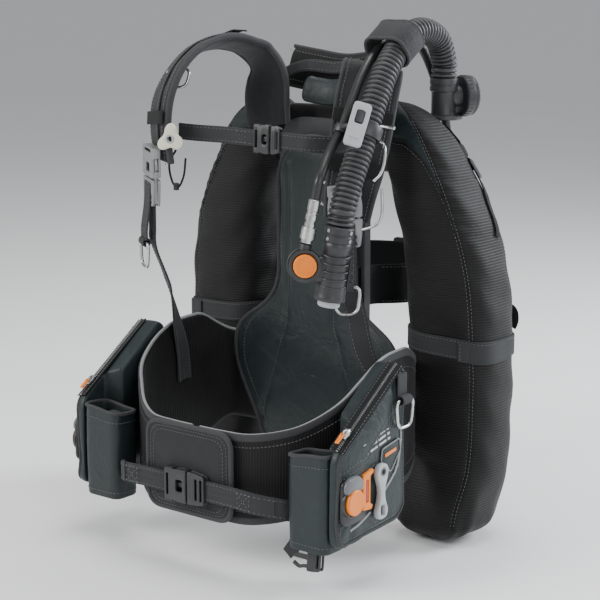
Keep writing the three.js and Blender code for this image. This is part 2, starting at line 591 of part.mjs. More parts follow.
// ---------- compression straps round the lobes ----------
const SIDE_STRAP_Z = 243;
[-1, 1].forEach((side) => {
  const name = side > 0 ? "left" : "right";
  const w = WING.halfWidth - WING.inner + 2 * GAP;
  const d = WING.back - WING.front + 2 * GAP;
  const corner = WING.corner + GAP;
  const loop = holeIn(roundedRect(w + 2 * WEB, d + 2 * WEB, corner + WEB), roundedRect(w, d, corner));
  const x = (WING.halfWidth + WING.inner) / 2;
  const y = (WING.back + WING.front) / 2;
  const strap = slab(loop, 25, 4).translate(x, y, SIDE_STRAP_Z);
  const lock = box(34, 8, 32, WING.halfWidth - 48, WING.back + GAP + WEB + 3.6, SIDE_STRAP_Z);
  const gapInside = box(20, d + 20, 40, WING.inner - 4, y, SIDE_STRAP_Z);
  add(`side_strap_${name}`, mirroredGeometry(cut(join(strap, lock), gapInside), side), "webbing");
});

// ---------- the breathing hose, its elbow with the dump valve, and the power inflator ----------
const DUMP_WAY = V(0.5, 0.866, 0);
function elbowGeometry() {
  const { seat, top } = ELBOW;
  const flange = rod(elbowAt(seat + GAP), elbowAt(seat + 6), ELBOW.flange, 20);
  const neck = rod(elbowAt(seat + 4), elbowAt(top - 14), 15, 16);
  const cuff = rod(elbowAt(top - 16), elbowAt(top), HOSE.cuff, 16);
  const beyond = (reach) => elbowAt(534).addScaledVector(DUMP_WAY, reach);
  const branch = rod(beyond(0), beyond(24), 13, 16);
  const cap = rod(beyond(21), beyond(42), 25, 20, 23);
  return join(flange, neck, cuff, branch, cap);
}
add("inflator_elbow", elbowGeometry(), "plastic");

const INFLATOR = { at: V(134, -139, 383), right: V(0.788, 0.616, 0), out: V(0.616, -0.788, 0), lean: 0.14 };
const inflatorFrame = placed(new THREE.Group(), INFLATOR.at, INFLATOR.right, INFLATOR.out);
inflatorFrame.rotateZ(-INFLATOR.lean);
vest.add(inflatorFrame);
inflatorFrame.updateMatrixWorld(true);
function addToInflator(name, geometry, material) {
  const mesh = add(name, geometry, material);
  inflatorFrame.add(mesh);
  return mesh;
}
// In the inflator's frame Y runs up the barrel, X to the wearer's left and back, and Z out of the button.
const BARREL = { radius: 17, bottom: -66 };
const LOBE = V(-33, -29, 0);
const INLET = V(-35, -5, 4);
const COUPLER_TOP = V(-32, 46, 4);
const COUPLER_LENGTH = INLET.distanceTo(COUPLER_TOP);
const couplerPoint = (t) => INLET.clone().lerp(COUPLER_TOP, t);
function inflatorGeometry() {
  const barrel = rod(V(0, 1, 0), V(0, BARREL.bottom, 0), BARREL.radius, 20);
  const cuff = rod(V(0, 0, 0), V(0, HOSE.cuffLength, 0), HOSE.cuff, 20);
  const lobeDisc = rod(V(LOBE.x, LOBE.y, -10), V(LOBE.x, LOBE.y, 13), 18.5, 24);
  const bridge = box(33, 34, 18, LOBE.x / 2, LOBE.y, 0);
  const inlet = rod(INLET.clone().lerp(COUPLER_TOP, -0.3), INLET, 6.5, 14);
  const wellFront = rod(V(LOBE.x, LOBE.y, 5), V(LOBE.x, LOBE.y, 20), BUTTON.inflate + GAP, 24);
  const wellEnd = rod(V(0, BARREL.bottom + 11, 0), V(0, BARREL.bottom - 5, 0), BUTTON.deflate + GAP, 20);
  return cut(join(barrel, cuff, lobeDisc, bridge, inlet), wellFront, wellEnd);
}
addToInflator("inflator_body", inflatorGeometry(), "plastic");
const inflateButton = rod(V(LOBE.x, LOBE.y, 9), V(LOBE.x, LOBE.y, 17.5), BUTTON.inflate, 24);
addToInflator("inflate_button", inflateButton, "orange");
const deflateTop = BARREL.bottom + 11 - BUTTON.deflateTravel - 0.6;
const deflateButton = rod(V(0, deflateTop, 0), V(0, BARREL.bottom - 8, 0), BUTTON.deflate, 20);
addToInflator("deflate_button", deflateButton, "ivory");
addToInflator("lp_coupler", rod(couplerPoint(0.01), COUPLER_TOP, LP_HOSE.coupler, 14), "steel");
const collarEnd = couplerPoint(0.1 + LP_HOSE.collarLength / COUPLER_LENGTH);
const collarOuter = rod(couplerPoint(0.1), collarEnd, LP_HOSE.collar, 14);
const collarBore = rod(couplerPoint(-0.2), couplerPoint(1.2), LP_HOSE.coupler + GAP, 14);
addToInflator("coupler_collar", cut(collarOuter, collarBore), "steel");

const fromInflator = (p) => inflatorFrame.localToWorld(p.clone());
const HOSE_PATH = [
  elbowAt(ELBOW.top + GAP), elbowAt(564), elbowAt(574), V(130, 65, 602), V(130, 32, 614), V(130, 0, 608),
  V(132, -23, 593), V(134, -46, 573), V(136, -67, 547), V(137, -84, 520), V(138, -103, 485),
  V(138, -122, 450),
  ...[16, 8, GAP].map((above) => fromInflator(V(0, HOSE.cuffLength + above, 0))),
];
add("corrugated_hose", tube(HOSE_PATH, HOSE.radius, 10, 34), "hose");

// The low-pressure hose hangs free behind the shoulder. Its points are chosen by hand.
const LP_PATH = [
  ...[1 + GAP / COUPLER_LENGTH, 1.2, 1.4].map((t) => fromInflator(couplerPoint(t))),
  V(114, -127, 484), V(115, -107, 507), V(114, -90, 531), V(111, -68, 558), V(109, -46, 580),
  V(107, -18, 598), V(105, 10, 606), V(104, 40, 606), V(103, 74, 588), V(103, 104, 548),
  V(105, 124, 500), V(108, 128, 440), V(108, 128, 372),
];
add("lp_hose", tube(LP_PATH, LP_HOSE.radius, 8, 60), "plastic");
const FITTING_TOP = LP_PATH[LP_PATH.length - 1].z - GAP;
add("lp_hose_fitting", join(
  rod(V(108, 128, FITTING_TOP), V(108, 128, FITTING_TOP - 16), 8, 6),
  rod(V(108, 128, FITTING_TOP - 14), V(108, 128, FITTING_TOP - 28), 4.8, 12),
), "steel");

// A padded wrap holds both hoses on top of the shoulder.
const WRAP = { at: V(122, -15, 600), along: V(1, 0, 0), out: V(0.05, -0.84, -0.54), length: 38, wall: 3 };
const WRAP_ROOM = { width: 13, height: 7 }; // spare room round the two hoses, which lie side by side
const wrapWidth = 2 * (HOSE.radius + LP_HOSE.radius) + WRAP_ROOM.width;
const wrapHeight = 2 * HOSE.radius + WRAP_ROOM.height;
const wrapShape = (grow) => roundedRect(wrapWidth + 2 * grow, wrapHeight + 2 * grow, HOSE.radius + 3 + grow);
const wrap = holeIn(wrapShape(WRAP.wall), wrapShape(0));
placed(add("hose_retainer", slab(wrap, WRAP.length, 5), "shell"), WRAP.at, WRAP.along, WRAP.out);

// A plastic clip on the hose carries the low-pressure hose in a ring.
const CLIP = { hose: V(137.5, -92.5, 504), way: V(0, 0.457, 0.89), keeper: [-25, -4, -4.5] };
function clipGeometry() {
  const y = CLIP.way.clone().normalize();
  const x = y.clone().cross(INFLATOR.out).normalize();
  const out = x.clone().cross(y);
  const plate = slab(roundedRect(22, 54, 5), 7, 2).translate(-12, 0, HOSE.radius + 4.4);
  const grip = rod(V(0, -8, 0), V(0, 8, 0), HOSE.radius + 5, 16);
  const [kx, ky, kz] = CLIP.keeper;
  const arm = box(7, 9, 22, kx + 3, ky, kz + 15);
  const ring = rod(V(kx, ky - 4.5, kz), V(kx, ky + 4.5, kz), LP_HOSE.radius + 5, 12);
  const hoseBore = rod(V(0, -20, 0), V(0, 20, 0), HOSE.radius + 1.6, 16);
  const keeperBore = rod(V(kx, ky - 12, kz), V(kx, ky + 14, kz), LP_HOSE.radius + 2.8, 12);
  return oriented(cut(join(plate, grip, arm, ring), hoseBore, keeperBore), CLIP.hose, x, out);
}
add("hose_clip", clipGeometry(), "clip");

// ---------- rear dump valve and shoulder toggle ----------
function rearValve() {
  const { x, z, seat, radius } = REAR_VALVE;
  const flange = rod(valveAt(seat + GAP), valveAt(seat + 6), radius, 20);
  const cap = rod(valveAt(seat + 5), valveAt(seat + 15), radius - 5, 20);
  add("rear_dump_valve", join(flange, cap), "plastic");
  const knobAt = (below) => V(x, seat + 9, z - below);
  add("rear_dump_knob", rod(knobAt(32), knobAt(54), 7, 12, 5), "ivory");
}
rearValve();

const TOGGLE = { at: V(-101, -157, 487), along: V(0.87, 0.5, 0), out: V(0.5, -0.87, 0) };
const toggleShape = holeIn(roundedRect(26, 34, 9), roundedRect(8, 6, 2.5));
placed(add("dump_toggle", slab(toggleShape, 9, 4), "ivory"), TOGGLE.at, TOGGLE.along, TOGGLE.out);

// ---------- the frame's origin: the middle of the vest's underside, with the free hose left out ----------
vest.updateMatrixWorld(true);
const CORD_NODES = ["lp_hose", "lp_hose_fitting"];
const extent = new THREE.Box3();
vest.traverse((piece) => {
  if (piece.isMesh && !CORD_NODES.includes(piece.name)) extent.expandByObject(piece, true);
});
const middle = extent.getCenter(new THREE.Vector3());
vest.position.set(-middle.x, -middle.y, -extent.min.z);

export default vest;
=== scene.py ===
# %% [markdown]
# # A diver's buoyancy vest, surface by surface
# A back-inflation vest is a soft air cell on a hard plate, with a padded harness round it, pockets on the
# hips
# and a thick ribbed hose over one shoulder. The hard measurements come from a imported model, the frame. This
# notebook hides the plain stand-ins of that frame and builds the real surfaces in their places.
# Lengths are worked out in millimetres, as a pattern cutter would, and go into the meshes in metres.

import math
from collections import namedtuple

import bmesh
import bpy
import numpy as np
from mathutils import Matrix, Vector
from mathutils.bvhtree import BVHTree


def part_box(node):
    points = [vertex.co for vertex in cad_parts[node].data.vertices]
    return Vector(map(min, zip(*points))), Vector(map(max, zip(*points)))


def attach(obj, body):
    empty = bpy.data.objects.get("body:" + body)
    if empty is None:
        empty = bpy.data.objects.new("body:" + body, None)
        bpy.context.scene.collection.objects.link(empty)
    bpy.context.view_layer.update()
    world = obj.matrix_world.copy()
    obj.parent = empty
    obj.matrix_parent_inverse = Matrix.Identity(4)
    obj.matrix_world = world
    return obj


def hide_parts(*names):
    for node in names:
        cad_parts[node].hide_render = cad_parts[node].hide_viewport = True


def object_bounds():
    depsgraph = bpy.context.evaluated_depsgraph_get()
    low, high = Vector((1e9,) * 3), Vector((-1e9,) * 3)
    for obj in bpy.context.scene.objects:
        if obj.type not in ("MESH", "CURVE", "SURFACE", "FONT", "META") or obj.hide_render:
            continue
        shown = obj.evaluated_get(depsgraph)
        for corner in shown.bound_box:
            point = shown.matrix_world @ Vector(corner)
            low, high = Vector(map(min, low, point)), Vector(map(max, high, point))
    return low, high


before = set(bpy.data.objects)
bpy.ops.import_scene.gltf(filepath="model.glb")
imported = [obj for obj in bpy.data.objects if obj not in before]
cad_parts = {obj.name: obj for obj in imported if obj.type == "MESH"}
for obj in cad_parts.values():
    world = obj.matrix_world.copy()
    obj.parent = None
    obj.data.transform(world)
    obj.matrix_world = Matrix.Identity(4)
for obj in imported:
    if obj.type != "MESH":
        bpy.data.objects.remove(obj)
cad_low, cad_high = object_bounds()
PANEL_FRONT = -241.0  # the waist panel's front in the pattern's own numbers, in mm
SHIFT = np.array([0.0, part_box("waist_panel")[0].y * 1000 - PANEL_FRONT, 0.0])
print("frame box", [round(x, 3) for x in (*cad_low, *cad_high)], "shift", SHIFT.round(2))

# %% [markdown]
# ## Camera and light
# The camera stands to the front and the diver's left, a little above the hips, and looks slightly down with a
# long lens. Three large soft lamps and a pale surround light dark cloth without hard shadows: the one at the
# left rakes across the ribs, the one behind draws a thin bright edge along the air cell.

# %% Camera, floor and lamps
metres = lambda p: (np.asarray(p, float) + SHIFT) / 1000
camera = bpy.data.objects.new("camera", bpy.data.cameras.new("camera"))
bpy.context.scene.collection.objects.link(camera)
camera.location = metres((1207, -1581, 680))
AZIMUTH, PITCH = math.radians(38), math.radians(11.4)
camera.rotation_euler = (math.pi / 2 - PITCH, 0, AZIMUTH)
camera.data.lens, camera.data.sensor_width = 97.2, 36.0
camera.data.clip_start = 0.05
bpy.context.scene.camera = camera


def lamp(name, place, aim, size, watts, tint=(1, 1, 1)):
    """A square soft lamp at a place, in metres, turned to face its aim."""
    data = bpy.data.lights.new(name, "AREA")
    data.shape, data.size, data.energy, data.color = "SQUARE", size, watts, tint
    made = bpy.data.objects.new(name, data)
    bpy.context.scene.collection.objects.link(made)
    made.location = place
    made.rotation_euler = (Vector(aim) - Vector(place)).to_track_quat("-Z", "Y").to_euler()


MIDDLE = (0, 0, 0.32)
lamp("key", (-1.3, -2.2, 1.7), MIDDLE, 1.4, 66, (1, 0.99, 0.97))
lamp("fill", (2.4, -1.0, 1.2), MIDDLE, 1.6, 26, (0.93, 0.97, 1))
lamp("top", (0.1, 0.3, 2.3), MIDDLE, 1.2, 34)
lamp("edge", (1.3, 1.7, 1.2), MIDDLE, 0.9, 62, (0.9, 0.97, 1))
world = bpy.data.worlds.new("surround")
world.use_nodes = True
world.node_tree.nodes["Background"].inputs["Color"].default_value = (0.78, 0.8, 0.82, 1)
world.node_tree.nodes["Background"].inputs["Strength"].default_value = 0.55
bpy.context.scene.world = world

# %% [markdown]
# ## Curves, skins and pieces
# Every shape below is a grid of points. A *skin* keeps such a grid with its faces and with a pair of cloth
# coordinates in millimetres at each corner, so that a weave follows the cloth wherever it is bent.

# %% Points along a line
Skin = namedtuple("Skin", "points faces uv")
TAU = 2 * math.pi


def unit(v):
    """Vectors of length one."""
    v = np.asarray(v, float)
    return v / np.maximum(np.linalg.norm(v, axis=-1, keepdims=True), 1e-9)


def walked(line):
    """How far along a line each of its points lies."""
    return np.r_[0, np.cumsum(np.linalg.norm(np.diff(line, axis=0), axis=1))]


def even(line, count):
    """Points at even steps: the distance walked is the place on the line that each is read from."""
    far = walked(line)
    at = np.linspace(0, far[-1], count)
    return np.stack([np.interp(at, far, line[:, k]) for k in range(line.shape[1])], 1)


def route(points, count):
    """A centripetal Catmull-Rom curve: between two points a cubic whose end slopes are weighted means of the
    slopes beside it, each weight being the square root of a distance."""
    p = np.asarray(points, float)
    p = np.vstack([2 * p[0] - p[1], p, 2 * p[-1] - p[-2]])
    k = np.sqrt(np.linalg.norm(np.diff(p, axis=0), axis=1))[:, None]
    a, b, c, d = p[:-3], p[1:-2], p[2:-1], p[3:]
    k0, k1, k2 = k[:-2], k[1:-1], k[2:]
    m1 = ((b - a) / k0 - (c - a) / (k0 + k1) + (c - b) / k1) * k1
    m2 = ((c - b) / k1 - (d - b) / (k1 + k2) + (d - c) / k2) * k1
    s = np.linspace(0, 1, 33)[:-1][None, :, None]
    curve = (2 * s**3 - 3 * s**2 + 1) * b[:, None] + (s**3 - 2 * s**2 + s) * m1[:, None]
    curve = curve + (3 * s**2 - 2 * s**3) * c[:, None] + (s**3 - s**2) * m2[:, None]
    return even(np.vstack([curve.reshape(-1, p.shape[1]), p[-2]]), count)


def spread_out(rows, count):
    """Rows of numbers shared out evenly over a count, straight between neighbours."""
    rows = np.atleast_2d(np.asarray(rows, float))
    at = np.linspace(0, len(rows) - 1, count)
    return np.stack([np.interp(at, np.arange(len(rows)), rows[:, k]) for k in range(rows.shape[1])], 1)


def sides(line, facing, upright=False, closed=False):
    """Across and outward directions along a line. Across is square to the way and to where the face looks."""
    if closed:
        way = unit(np.roll(line, -1, 0) - np.roll(line, 1, 0))
    else:
        way = unit(np.gradient(line, axis=0))
    look = spread_out(facing, len(line))
    across = np.broadcast_to([0.0, 0, 1], line.shape) if upright else unit(np.cross(way, look))
    return across, unit(np.cross(across, way))


# %% Skins from grids
def skin(grid, uv, wrap=True, ring=False):
    """Quads between neighbouring points of a grid. wrap joins its last column to its first, ring its last row
    to its first; open ends are closed by faces laid across like the rungs of a ladder, since a face of many
    corners is slow to subdivide."""
    rows, cols = grid.shape[:2]
    i, j = np.meshgrid(np.arange(rows if ring else rows - 1), np.arange(cols if wrap else cols - 1),
        indexing="ij")
    i, j = i.ravel(), j.ravel()
    r, c = np.stack([i, i, i + 1, i + 1], 1), np.stack([j, j + 1, j + 1, j], 1)
    faces = ((r % rows) * cols + c % cols).tolist()
    corners = uv[r, c].reshape(-1, 2)
    if wrap and not ring:
        rungs = [dict.fromkeys([k, k + 1, cols - k - 1, (cols - k) % cols]) for k in range(cols // 2)]
        rungs = [list(rung) for rung in rungs]
        top = (rows - 1) * cols
        faces += [rung[::-1] for rung in rungs] + [[top + k for k in rung] for rung in rungs]
        corners = np.vstack([corners, *(uv[0, rung[::-1]] for rung in rungs),
            *(uv[-1, rung] for rung in rungs)])
    return Skin(grid.reshape(-1, 3), faces, corners)


def merged(*skins):
    """Several skins as one."""
    start = np.cumsum([0, *(len(s.points) for s in skins)])
    faces = [[v + n for v in f] for s, n in zip(skins, start) for f in s.faces]
    return Skin(np.vstack([s.points for s in skins]), faces, np.vstack([s.uv for s in skins]))


def moved(s, matrix):
    """A skin carried by a 4 x 4 matrix."""
    return Skin(s.points @ matrix[:3, :3].T + matrix[:3, 3], s.faces, s.uv)


def seat(at, along, out, lean=0.0):
    """A matrix whose x runs along, whose z looks out, and which leans clockwise by an angle."""
    x = unit(along)
    y = unit(np.cross(out, x))
    m = np.eye(4)
    m[:3, 0], m[:3, 1], m[:3, 2], m[:3, 3] = x, y, np.cross(x, y), at
    c, s = math.cos(lean), math.sin(lean)
    return m @ np.array([[c, s, 0, 0], [-s, c, 0, 0], [0, 0, 1, 0], [0, 0, 0, 1.0]])


def oval(width, height, power=2.0, count=24):
    """A superellipse: x is half the width times cos to the power 2/n, y half the height times sin likewise."""
    a = np.arange(count) * TAU / count
    curl = lambda f: np.sign(f) * np.abs(f) ** (2 / power)
    return np.stack([width / 2 * curl(np.cos(a)), height / 2 * curl(np.sin(a))], 1)


def flat_band(width, thickness, across=7):
    """A webbing's section: straight faces between edges rounded by half circles."""
    w, t = width / 2 - thickness / 2, thickness / 2
    x = np.linspace(-w, w, across)
    a = np.linspace(-0.5, 0.5, 5)[1:-1] * math.pi
    top = np.stack([x[::-1], np.full(across, t)], 1)
    low = np.stack([x, np.full(across, -t)], 1)
    right = np.stack([w + t * np.cos(a), t * np.sin(a)], 1)
    return np.vstack([low, right, top, -right])


def sweep(line, facing, section, scale=None, upright=False, closed=False, girth=False):
    """A section carried along a line: point = line + across * x + out * y. Its cloth coordinates are x, or the
    distance round the section, and the distance walked."""
    across, out = sides(line, facing, upright, closed)
    n, m = len(line), len(section)
    s = np.broadcast_to(section, (n, m, 2)) if scale is None else section * np.asarray(scale).reshape(n, 1,
        -1)
    grid = line[:, None] + across[:, None] * s[..., :1] + out[:, None] * s[..., 1:]
    loop = np.vstack([section, section[:1]])
    u = walked(loop) if girth else loop[:, 0]
    v = walked(np.vstack([line, line[:1]])) if closed else walked(line)
    uv = np.stack(np.broadcast_arrays(u[None], v[:, None]), -1)
    return skin(grid, uv, ring=closed)


def tube(line, radius, facing=(1, 0, 0), count=16, closed=False):
    """A round section along a line, its radius a number or one for each point."""
    scale = np.broadcast_to(np.asarray(radius, float), (len(line),))[:, None]
    return sweep(line, facing, oval(2, 2, 2, count), scale, closed=closed, girth=True)


def turned(profile, count=40):
    """A profile of radius and height turned about z. A profile that starts and ends on the axis is closed."""
    p = np.asarray(profile, float)
    a = np.arange(count + 1) * TAU / count
    grid = np.stack([p[:, :1] * np.cos(a[:-1]), p[:, :1] * np.sin(a[:-1]), np.repeat(p[:, 1:], count, 1)], -1)
    uv = np.stack(np.broadcast_arrays(a[None] * p[:, 0].max(), walked(p)[:, None]), -1)
    return skin(grid, uv)


def rounded(corners, radius, steps=5):
    """A polygon with its corners rounded: each corner becomes a parabola between two points on its sides."""
    p = np.asarray(corners, float)
    before, after = np.roll(p, 1, 0) - p, np.roll(p, -1, 0) - p
    reach = np.minimum(radius, 0.49 * np.minimum(np.linalg.norm(before, axis=1),
        np.linalg.norm(after, axis=1)))
    a, b = p + unit(before) * reach[:, None], p + unit(after) * reach[:, None]
    t = np.linspace(0, 1, steps)[None, :, None]
    return ((1 - t) ** 2 * a[:, None] + 2 * t * (1 - t) * p[:, None] + t**2 * b[:, None]).reshape(-1, 2)


def block(width, height, x=0.0, y=0.0):
    """The four corners of a rectangle."""
    w, h = width / 2, height / 2
    return np.array([(x - w, y - h), (x + w, y - h), (x + w, y + h), (x - w, y + h)])


def plate(outlines, thickness, bevel=0.8, lift=0.0):
    """A moulded plate: a flat curve filled between its outline and its holes, extruded, with rounded edges."""
    curve = bpy.data.curves.new("plate", "CURVE")
    curve.dimensions, curve.fill_mode, curve.bevel_resolution = "2D", "BOTH", 1
    curve.extrude, curve.bevel_depth, curve.offset = max(thickness / 2 - bevel, 0.01), bevel, -bevel
    for line in outlines:
        spline = curve.splines.new("POLY")
        spline.points.add(len(line) - 1)
        spline.points.foreach_set("co",
            np.column_stack([line, np.zeros(len(line)), np.ones(len(line))]).ravel())
        spline.use_cyclic_u = True
    holder = bpy.data.objects.new("plate", curve)
    mesh = bpy.data.meshes.new_from_object(holder)
    points = np.empty(len(mesh.vertices) * 3, np.float32)
    mesh.vertices.foreach_get("co", points)
    points = points.reshape(-1, 3).astype(float) + (0, 0, lift)
    faces = [list(f.vertices) for f in mesh.polygons]
    uv = points[np.concatenate(faces)][:, :2]
    bpy.data.objects.remove(holder)
    bpy.data.curves.remove(curve)
    bpy.data.meshes.remove(mesh)
    return Skin(points, faces, uv)


def dome(t, reach=0.12, least=0.0):
    """1 in the middle of a span and least at its ends, along a quarter circle within reach of each end."""
    near = np.clip(np.minimum(t, 1 - t) / reach, 0, 1)
    return least + (1 - least) * np.sqrt(1 - (1 - near) ** 2)


# %% Stitches, and pieces in the scene
def stitches(line, out, pitch=4.2, length=2.6, radius=0.42, lift=0.25):
    """Thread along a line: a four-sided spindle is repeated at every stitch by adding arrays."""
    line = np.asarray(line, float)
    at = even(line, max(2, int(walked(line)[-1] / pitch)))
    way = unit(np.gradient(at, axis=0))
    out = unit(spread_out(out, len(at)))
    across = unit(np.cross(way, out))
    along = np.array([-0.5, -0.3, 0.3, 0.5]) * length
    wide = np.array([0.25, 1, 1, 0.25]) * radius
    ring = oval(2, 2, 2, 4)
    cell = np.stack([np.repeat(along, 4), *(np.tile(ring, (4, 1)) * np.repeat(wide, 4)[:, None]).T], 1)
    axes = np.stack([way, across, out], 1)
    points = (at + out * lift)[:, None] + np.einsum("vk,nkx->nvx", cell, axes)
    one = [[k * 4 + j, k * 4 + (j + 1) % 4, k * 4 + 4 + (j + 1) % 4, k * 4 + 4 + j] for k in range(3)
        for j in range(4)]
    one += [[3, 2, 1, 0], [12, 13, 14, 15]]
    faces = (np.array(one)[None] + 16 * np.arange(len(at))[:, None, None]).reshape(-1, 4)
    return Skin(points.reshape(-1, 3), faces.tolist(), np.zeros((len(faces) * 4, 2)))


def piece(name, parts, body="vest", stands_for=(), sharp=38, flip=False):
    """Puts skins and their finishes into one mesh, welds and turns its faces outwards, and rides it."""
    whole = merged(*(s for s, _ in parts))
    points = whole.points * (-1, 1, 1) if flip else whole.points
    mesh = bpy.data.meshes.new(name)
    mesh.from_pydata(((points + SHIFT) / 1000).tolist(), [], whole.faces)
    mesh.uv_layers.new(name="cloth").data.foreach_set("uv", whole.uv.astype(np.float32).ravel())
    finishes = list(dict.fromkeys(f for _, f in parts))
    for f in finishes:
        mesh.materials.append(f)
    numbers = np.concatenate([np.full(len(s.faces), finishes.index(f)) for s, f in parts])
    mesh.polygons.foreach_set("material_index", numbers.astype(np.int32))
    work = bmesh.new()
    work.from_mesh(mesh)
    bmesh.ops.remove_doubles(work, verts=work.verts, dist=2e-6)
    bmesh.ops.dissolve_degenerate(work, edges=work.edges, dist=1e-7)
    bmesh.ops.recalc_face_normals(work, faces=work.faces)
    work.to_mesh(mesh)
    work.free()
    mesh.shade_smooth()
    mesh.set_sharp_from_angle(angle=math.radians(sharp))
    made = bpy.data.objects.new(name, mesh)
    bpy.context.scene.collection.objects.link(made)
    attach(made, body)
    if stands_for:
        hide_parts(*stands_for)
    return made


def places(made):
    """A mesh's points in the pattern's millimetres."""
    co = np.empty(len(made.data.vertices) * 3, np.float32)
    made.data.vertices.foreach_get("co", co)
    return co.reshape(-1, 3).astype(float) * 1000 - SHIFT


def settle(made, points):
    """Writes points in the pattern's millimetres back into a mesh."""
    made.data.vertices.foreach_set("co", ((points + SHIFT) / 1000).astype(np.float32).ravel())
    made.data.update()


def puff(made, held, pressure=4.0, cap=7.0, frames=18):
    """Blows a piece up as cloth under pressure, without gravity, and then applies it. Points of which held says
    True stay put, and no point goes further than the cap: distance = cap * (1 - exp(-distance / cap))."""
    rest = places(made)
    group = made.vertex_groups.new(name="held")
    group.add(np.flatnonzero(held(rest)).tolist(), 1.0, "REPLACE")
    cloth = made.modifiers.new("puff", "CLOTH")
    cloth.settings.vertex_group_mass = "held"
    cloth.settings.use_pressure, cloth.settings.uniform_pressure_force = True, pressure
    cloth.settings.effector_weights.gravity = 0
    cloth.settings.quality, cloth.settings.bending_stiffness = 4, 0.8
    cloth.point_cache.frame_end = frames
    for k in range(1, frames + 1):
        bpy.context.scene.frame_set(k)
    seen = made.evaluated_get(bpy.context.evaluated_depsgraph_get())
    co = np.empty(len(seen.data.vertices) * 3, np.float32)
    seen.data.vertices.foreach_get("co", co)
    step = co.reshape(-1, 3).astype(float) * 1000 - SHIFT - rest
    made.modifiers.remove(cloth)
    made.vertex_groups.remove(group)
    bpy.context.scene.frame_set(1)
    far = np.linalg.norm(step, axis=1, keepdims=True)
    settle(made, rest + step * cap * (1 - np.exp(-far / cap)) / np.maximum(far, 1e-9))
    print(made.name, "puffed", round(float(np.minimum(far, cap).mean()), 2), "mm on average")


def smooth_once(made, levels=1):
    """One level of subdivision, the same in the view and in the render."""
    finer = made.modifiers.new("finer", "SUBSURF")
    finer.levels = finer.render_levels = levels
    return made


def drape(made, points, way, lift=0.0):
    """Drops points along a direction until they meet a piece's skin, then lifts them off it a little."""
    tree = BVHTree.FromPolygons(list(map(tuple, places(made))),
        [tuple(f.vertices) for f in made.data.polygons])
    ways = np.broadcast_to(unit(way), np.shape(points))
    found = [tree.ray_cast(Vector(p), Vector(w))[:2] for p, w in zip(np.asarray(points, float), ways)]
    where = [hit if hit is not None else Vector(p) for (hit, _), p in zip(found, points)]
    looks = [n if n is not None else Vector(-w) for (_, n), w in zip(found, ways)]
    looks = np.array([n if n.dot(Vector(w)) < 0 else -n for n, w in zip(looks, ways)])
    return np.array(where) + looks * lift, looks

# %% [markdown]
# ## Finishes
# No finish here is one flat colour. Coated nylon shows a faint weave, crinkles and a waxy gloss; ballistic
# nylon
# has raised ribs; webbing is a herringbone of thick yarn; moulded parts have a fine spark-eroded grain. Each
# is
# worked out in a shader. `Wire` lets that arithmetic be written as plain sums: every sign adds one Math node.

# %% A wire that can be added and multiplied
class Wire:
    """One output socket in a material."""

    def __init__(self, tree, socket=None):
        self.tree, self.socket = tree, socket

    def node(self, kind, settings=None, inputs=None, out=0):
        """Adds any node: its settings first, then a value or a wire for each named or numbered input."""
        made = self.tree.nodes.new("ShaderNode" + kind)
        for key, value in (settings or {}).items():
            setattr(made, key, value)
        for key, value in (inputs or {}).items():
            if isinstance(value, Wire):
                self.tree.links.new(value.socket, made.inputs[key])
            else:
                made.inputs[key].default_value = value
        return Wire(self.tree, made.outputs[out])

    def math(self, operation, *rest):
        return self.node("Math", {"operation": operation}, dict(enumerate((self, *rest))))

    def __add__(self, other):
        return self.math("ADD", other)

    def __sub__(self, other):
        return self.math("SUBTRACT", other)

    def __rsub__(self, other):
        return self * -1 + other

    def __mul__(self, other):
        return self.math("MULTIPLY", other)

    def __truediv__(self, other):
        return self.math("DIVIDE", other)

    __radd__, __rmul__ = __add__, __mul__

    def wave(self, pitch):
        """A ridge once every pitch, from 0 to 1: half of 1 plus the sine of the distance."""
        return (self * (TAU / pitch)).math("SINE") * 0.5 + 0.5

    def step(self, low, high):
        """0 below low, 1 above high and straight between."""
        span = {1: low, 2: high, 3: 0.0, 4: 1.0}
        return self.node("MapRange", {"clamp": True}, {0: self, **span})

    def between(self, first, second):
        """A colour mixed from two by this number."""
        return self.node("Mix", {"data_type": "RGBA"}, {0: self, 6: first, 7: second}, out=2)


def grey(value):
    return (value, value, value, 1)


def finish(name, paint, **constants):
    """A material with one Principled shader. paint gets the cloth coordinates u and v and the object's place,
    all in mm, and gives wires or values for the shader's sockets, and a height in mm for its bump."""
    made = bpy.data.materials.new(name)
    made.use_nodes = True
    tree = made.node_tree
    shader = tree.nodes["Principled BSDF"]
    for key, value in constants.items():
        shader.inputs[key.replace("_", " ")].default_value = value
    start = Wire(tree)
    cloth = start.node("UVMap", {"uv_map": "cloth"})
    u, v = (cloth.node("SeparateXYZ", inputs={0: cloth}, out=k) for k in (0, 1))
    place = start.node("TexCoord", out=3)
    place = place.node("VectorMath", {"operation": "SCALE"}, {0: place, 3: 1000.0})
    sockets = paint(u, v, place)
    height = sockets.pop("height", None)
    if height is not None:
        bump = height.node("Bump", inputs={"Strength": 1.0, "Distance": 0.001, "Height": height})
        tree.links.new(bump.socket, shader.inputs["Normal"])
    for key, value in sockets.items():
        tree.links.new(value.socket, shader.inputs[key])
    return made


def clouds(place, size, detail=3.0, rough=0.5, bend=0.0):
    """Soft noise from 0 to 1 whose lumps are about size mm across."""
    knobs = {"Vector": place, "Scale": 1 / size, "Detail": detail, "Roughness": rough, "Distortion": bend}
    return place.node("TexNoise", inputs=knobs)


def edge_highlight(place):
    """Painted highlight along edges, 0 to 1: where a rounded-off normal leaves the true one, as it does along an
    edge.
    """
    point = place.node("NewGeometry", out=7)
    return point.step(0.53, 0.62) * clouds(place, 9)


# %% [markdown]
# Woven stuffs first. The coated nylon is the blue-grey top cloth of the air cell; a second attribute called
# `coated` says where it gives way to black ribbed cloth, so that the change follows the sewn seam exactly.

